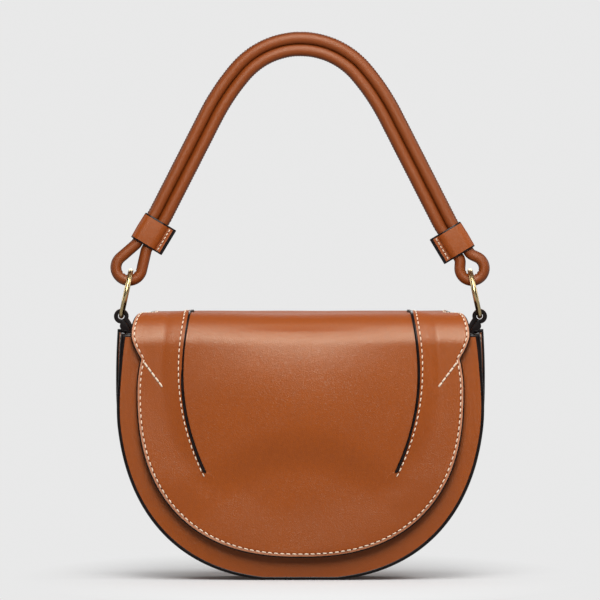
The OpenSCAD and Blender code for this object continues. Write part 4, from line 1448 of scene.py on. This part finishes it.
def build_keeper(name, side, loop_r, reach):
    """Leather sleeve round the doubled cord, with its stitched flange."""
    route = StrapRoute()
    long, thick, flange = STRAP.keeper_l, STRAP.keeper_t, STRAP.flange
    inner_edge = -route.off - route.cord_r
    start = route.loop_centre(loop_r) - (reach + route.run - 1) * route.keeper_dir

    def at(across, y, along):
        place = start + across * route.keeper_out + along * route.keeper_dir
        return Vector((side * place.x, y, place.y))

    profile = [(-0.45, 0.0), (-0.12, 0.12), (0.0, 0.5), (0.0, 1.0), (0.0, 2), (0.0, long / 2), (0.0, long - 2),
               (0.0, long - 1.0), (0.0, long - 0.5), (-0.12, long - 0.12), (-0.45, long)]
    painted_rows = [1, 1, 1, 0, 0, 0, 0, 1, 1, 1, 1, 0, 1]
    loops = []
    for grow, along in profile:
        swell = 0.25 * math.sin(math.pi * along / long)
        loops.append([at(p.x, p.y, along) for p in keeper_section(route, thick + grow + swell, 1 + grow / 8)])
    hole = keeper_outline(route, 0, steps(90, 142, 8) + [149, 157, 165, 173], [])
    loops += [[at(p.x, p.y, along) for p in hole] for along in (long, 0.0)]
    tip = [p.x < inner_edge - flange + 1 for p in keeper_section(route, 0, 1)]
    bm = bmesh.new()
    add_loops(bm, loops, closed_along=True,
              slot_at=lambda i, j: 1 if tip[j] and tip[(j + 1) % len(tip)] else painted_rows[i])
    made = finish_mesh(name, bm, (keeper_leather, edge_paint), sharp=50)
    seams = bmesh.new()
    across = inner_edge - flange + THREAD.inset
    for face in (-1, 1):
        stitch_row(seams, [(at(across, face * thick * 1.02, along), Vector((0, face, 0)))
                           for along in steps(1.1, long - 1.1, 40)], 2.65, 1.9, 0.7)
    return made, finish_mesh(name + "_thread", seams, (cream_thread, needle_hole), sharp=80)


def build_tab(name, side):
    """Strip of leather folded round its eye, with painted edges, its tail inside the gusset."""
    eye = StrapRoute().eye
    snug, gap, clear = 0.4, 0.3, 0.2
    thick, half_w, eye_r = STRAP.tab_t, STRAP.tab_w / 2, STRAP.eye_d / 2 - snug
    middle_x = body_edge(-half_w, SIDE_TOP)(2, BODY.gusset + BODY.welt + gap)[0] - clear - thick
    low_z, neck_z = SIDE_TOP - STRAP.tab_tail, SIDE_TOP + gap
    down = math.degrees(math.atan2(neck_z - eye.y, middle_x - eye.x))
    slit, round_r = 0.04, 0.5

    def folded(offset, radius, opening, leans):
        """A face of the strip: up the outer leg, round the eye, and down the inner leg."""
        around = [eye + radius * unit(angle) for angle in steps(down - opening, down - 360 + opening, 44)]
        legs = []
        for x, end, (lean, rise) in zip((middle_x - offset, middle_x + offset), (around[0], around[-1]), leans):
            bottom, neck = Vector((x, low_z)), Vector((x, neck_z))
            bend = neck + Vector((lean, rise))
            legs.append([bottom.lerp(neck, share) for share in steps(0, 1, 6)]
                        + [Vector(bezier(neck, bend, end, share)) for share in steps(0, 1, 10)[1:-1]])
        return legs[0] + around + legs[1][::-1]

    outer = folded(thick, eye_r + thick + snug, 40, ((0, 2.5), (5.6, 0.3)))
    inner = folded(slit, eye_r, 2, ((0.6, 2.5), (0.6, 2.5)))
    corner = [(cx, cy, unit(turn)) for cx, cy, start in ((1, 1, 0), (0, 1, 90), (0, -1, 180), (1, -1, 270))
              for turn in steps(start, start + 90, 5)]
    rings = []
    for far, near in zip(outer, inner):
        across = far - near
        span = across.length
        across.normalize()
        ring = []
        for cx, cy, way in corner:
            place = near + across * ((span - round_r if cx else round_r) + round_r * way.x)
            ring.append(Vector((side * place.x, cy * (half_w - round_r) + round_r * way.y, place.y)))
        rings.append(ring)
    bm = bmesh.new()
    add_tube(bm, rings, slot_at=lambda i, j: 1 if abs(corner[j][2].y) > 0.3 else 0, cap_slot=1)
    return finish_mesh(name, bm, (tan_leather, edge_paint), sharp=50)


# Operators

class MakePanels(bpy.types.Operator):
    """Builds the front and back panels and their painted rims"""
    bl_idname = "handbag.make_panels"
    bl_label = "Panels"

    def execute(self, context):
        for side, top_z, node in ((-1, FRONT_TOP, "front_panel"), (1, BACK_TOP, "back_panel")):
            panel = build_panel(node + "_leather", side, top_z)
            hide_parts(node)
            rim = build_rim(node + "_rim", side, top_z)
            for piece in (panel, rim):
                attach(piece, "bag")
        return {"FINISHED"}


class MakeGusset(bpy.types.Operator):
    """Builds the gusset and its stitches"""
    bl_idname = "handbag.make_gusset"
    bl_label = "Gusset"

    def execute(self, context):
        band = build_gusset()
        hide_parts("gusset")
        for piece in (band, gusset_thread()):
            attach(piece, "bag")
        return {"FINISHED"}


class MakeLining(bpy.types.Operator):
    """Builds the twill linings and the slip pocket"""
    bl_idname = "handbag.make_lining"
    bl_label = "Lining"

    def execute(self, context):
        for node, side in (("front_lining", -1), ("back_lining", 1)):
            cloth = build_lining_panel(node.replace("lining", "twill"), side, corners(node)[1].z)
            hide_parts(node)
            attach(cloth, "bag")
        band = build_lining_band()
        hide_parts("gusset_lining")
        pocket, seams = build_pocket()
        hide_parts("slip_pocket")
        for piece in (band, pocket, seams):
            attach(piece, "bag")
        return {"FINISHED"}


class MakeFlap(bpy.types.Operator):
    """Builds the flap, its lining, the dart edges and all its stitches"""
    bl_idname = "handbag.make_flap"
    bl_label = "Flap"

    def execute(self, context):
        leather = BODY.leather
        border = [6.5, 5, 3.8, 3.0, 2.7, 2.5, 2.3, 2.0, 1.7, 1.3, 0.9, 0.5, 0.2, 0]
        whole = build_flap_sheet("flap", 0, leather, 0, border, (tan_leather, edge_paint, burnished_edge), 0.35,
                                 True)
        front, back = part_at_roof(whole, "flap_leather", "flap_strip_leather")
        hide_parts("flap_front", "flap_roof")
        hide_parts("flap_anchor")
        lining = build_flap_sheet("flap_twill", leather, 0.6, 1.4, [5.0, 3.0, 1.0, 0], (twill_lining,) * 2,
                                  0.15, False)
        front_lining, back_lining = part_at_roof(lining, "flap_front_twill", "flap_back_twill")
        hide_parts("flap_front_lining", "flap_roof_lining")
        seam, notches, strip_seam = flap_threads()
        for piece in (front, build_beads(), seam, notches):
            bend_front(piece)
        for piece in (back, strip_seam):
            bend_back(piece)
        bend_front(front_lining)
        bend_back(back_lining)
        return {"FINISHED"}


class MakeStrap(bpy.types.Operator):
    """Builds the cord strap and its two keepers"""
    bl_idname = "handbag.make_strap"
    bl_label = "Strap"

    def execute(self, context):
        cord = build_cord()
        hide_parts("strap_cover")
        made = [cord]
        for node, side, loop_r, reach in (
                ("keeper_left", -1, STRAP.left_loop_r, STRAP.left_reach),
                ("keeper_right", 1, STRAP.right_loop_r, STRAP.right_reach)):
            sleeve, seams = build_keeper(node + "_leather", side, loop_r, reach)
            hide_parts(node)
            made += [sleeve, seams]
        for piece in made:
            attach(piece, "strap")
        return {"FINISHED"}


class MakeTabs(bpy.types.Operator):
    """Builds the folded tabs that hold the rings"""
    bl_idname = "handbag.make_tabs"
    bl_label = "Tabs"

    def execute(self, context):
        for node, side in (("tab_left", -1), ("tab_right", 1)):
            tab = build_tab(node + "_leather", side)
            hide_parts(node)
            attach(tab, "bag")
        return {"FINISHED"}


class FinishHardware(bpy.types.Operator):
    """Gives the rings, the snap, the boards and the strap's core their finishes"""
    bl_idname = "handbag.finish_hardware"
    bl_label = "Hardware"

    def execute(self, context):
        finishes = {brass: ("ring_left", "ring_right", "snap_socket", "snap_stud"),
                    nickel_steel: ("snap_magnet", "snap_socket_washer", "snap_stud_washer"),
                    fibre_board: ("front_board", "back_board"),
                    cotton_rope: ("strap_core",),
                    tan_leather: ("front_facing", "back_facing")}
        for maker, nodes in finishes.items():
            for node in nodes:
                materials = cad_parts[node].data.materials
                materials.clear()
                materials.append(maker())
        return {"FINISHED"}


def light_world(scene):
    """A dim even light from all round, which the camera sees as the backdrop."""
    dim = 0.06
    world = scene.world = bpy.data.worlds.new("studio")
    world.use_nodes = True
    tree = world.node_tree
    light = tree.nodes["Background"]
    light.inputs["Color"].default_value = (1.0, 1.0, 1.0, 1.0)
    light.inputs["Strength"].default_value = dim
    seen = add_node(tree, "ShaderNodeBackground", {"Color": rgba(colours().backdrop), "Strength": 1.0})
    rays = tree.nodes.new("ShaderNodeLightPath").outputs
    mixed = mix_shader(tree, rays["Is Camera Ray"], light.outputs[0], seen.outputs[0])
    feed(tree, tree.nodes["World Output"].inputs["Surface"], mixed)


def add_lamp(name, place, size, power):
    """A softbox that faces the middle of the bag. Its size is (width, height) in metres, its power in watts."""
    lamp = bpy.data.lights.new(name, "AREA")
    lamp.shape = "RECTANGLE"
    lamp.size, lamp.size_y = size
    lamp.energy = power
    lit = link_object(name, lamp)
    lit.location = place
    lit.rotation_euler = (BAG_MIDDLE - Vector(place)).to_track_quat("-Z", "Y").to_euler()


def add_camera(scene):
    """The photograph's view: from far away, tilted down a little, and framed a fixed width."""
    seen_width, away, tilt, sensor = 0.375, 10.0, math.radians(1.2), 36
    middle_x, middle_z = -0.0003, 0.1738
    camera = bpy.data.cameras.new("camera")
    camera.sensor_width = sensor
    camera.lens = sensor * away / seen_width
    camera.clip_end = 60
    holder = link_object("camera", camera)
    holder.location = (middle_x, -away * math.cos(tilt), middle_z + away * math.sin(tilt))
    holder.rotation_euler = (math.radians(90) - tilt, 0, 0)
    scene.camera = holder


class MakeStage(bpy.types.Operator):
    """Builds the backdrop, the lamps and the camera"""
    bl_idname = "handbag.make_stage"
    bl_label = "Stage"

    def execute(self, context):
        bm = bmesh.new()
        bm.faces.new([bm.verts.new((x * FLOOR_HALF, y * FLOOR_HALF, 0))
                      for x, y in ((-1, -1), (1, -1), (1, 1), (-1, 1))])
        backdrop = finish_mesh("floor", bm, (backdrop_paper,), sharp=80, closed=False)
        light_world(context.scene)
        for lamp in (("key_softbox", (0.0, -0.86, 1.38), (0.6, 1.15), 15.5),
                     ("front_softbox", (0.0, -1.34, 0.83), (0.6, 0.5), 12.0),
                     ("high_softbox", (1.0, -0.5, 1.3), (0.6, 0.6), 5.0),
                     ("left_softbox", (-1.5, 0.5, 0.6), (0.6, 1.0), 5.0),
                     ("right_softbox", (1.5, 0.5, 0.6), (0.6, 1.0), 5.0),
                     ("back_softbox", (0.0, 1.5, 0.9), (1.2, 0.7), 8.0)):
            add_lamp(*lamp)
        add_camera(context.scene)
        context.scene.view_settings.view_transform = "Standard"
        return {"FINISHED"}


class HandbagPanel(bpy.types.Panel):
    """Lists the steps that build the handbag"""
    bl_idname = "VIEW3D_PT_handbag"
    bl_label = "Saddle handbag"
    bl_space_type = "VIEW_3D"
    bl_region_type = "UI"
    bl_category = "Handbag"

    def draw(self, context):
        for step in STEPS:
            self.layout.operator(step.bl_idname)


GROUP_CLASSES = {"handbag_body": BodySizes, "handbag_flap": FlapSizes, "handbag_strap": StrapSizes,
                 "handbag_thread": ThreadSizes, "handbag_colours": BagColours}
STEPS = (MakeStage, MakePanels, MakeGusset, MakeLining, MakeFlap, MakeStrap, MakeTabs, FinishHardware)


def register():
    for name, made in GROUP_CLASSES.items():
        bpy.utils.register_class(made)
        setattr(bpy.types.Scene, name, PointerProperty(type=made))
    for made in STEPS + (HandbagPanel,):
        bpy.utils.register_class(made)


def unregister():
    for made in reversed(STEPS + (HandbagPanel,)):
        bpy.utils.unregister_class(made)
    for name, made in GROUP_CLASSES.items():
        delattr(bpy.types.Scene, name)
        bpy.utils.unregister_class(made)


def main():
    """Builds the handbag step by step."""
    register()
    for step in STEPS:
        family, name = step.bl_idname.split(".")
        getattr(getattr(bpy.ops, family), name)()


if __name__ == "__main__":
    main()
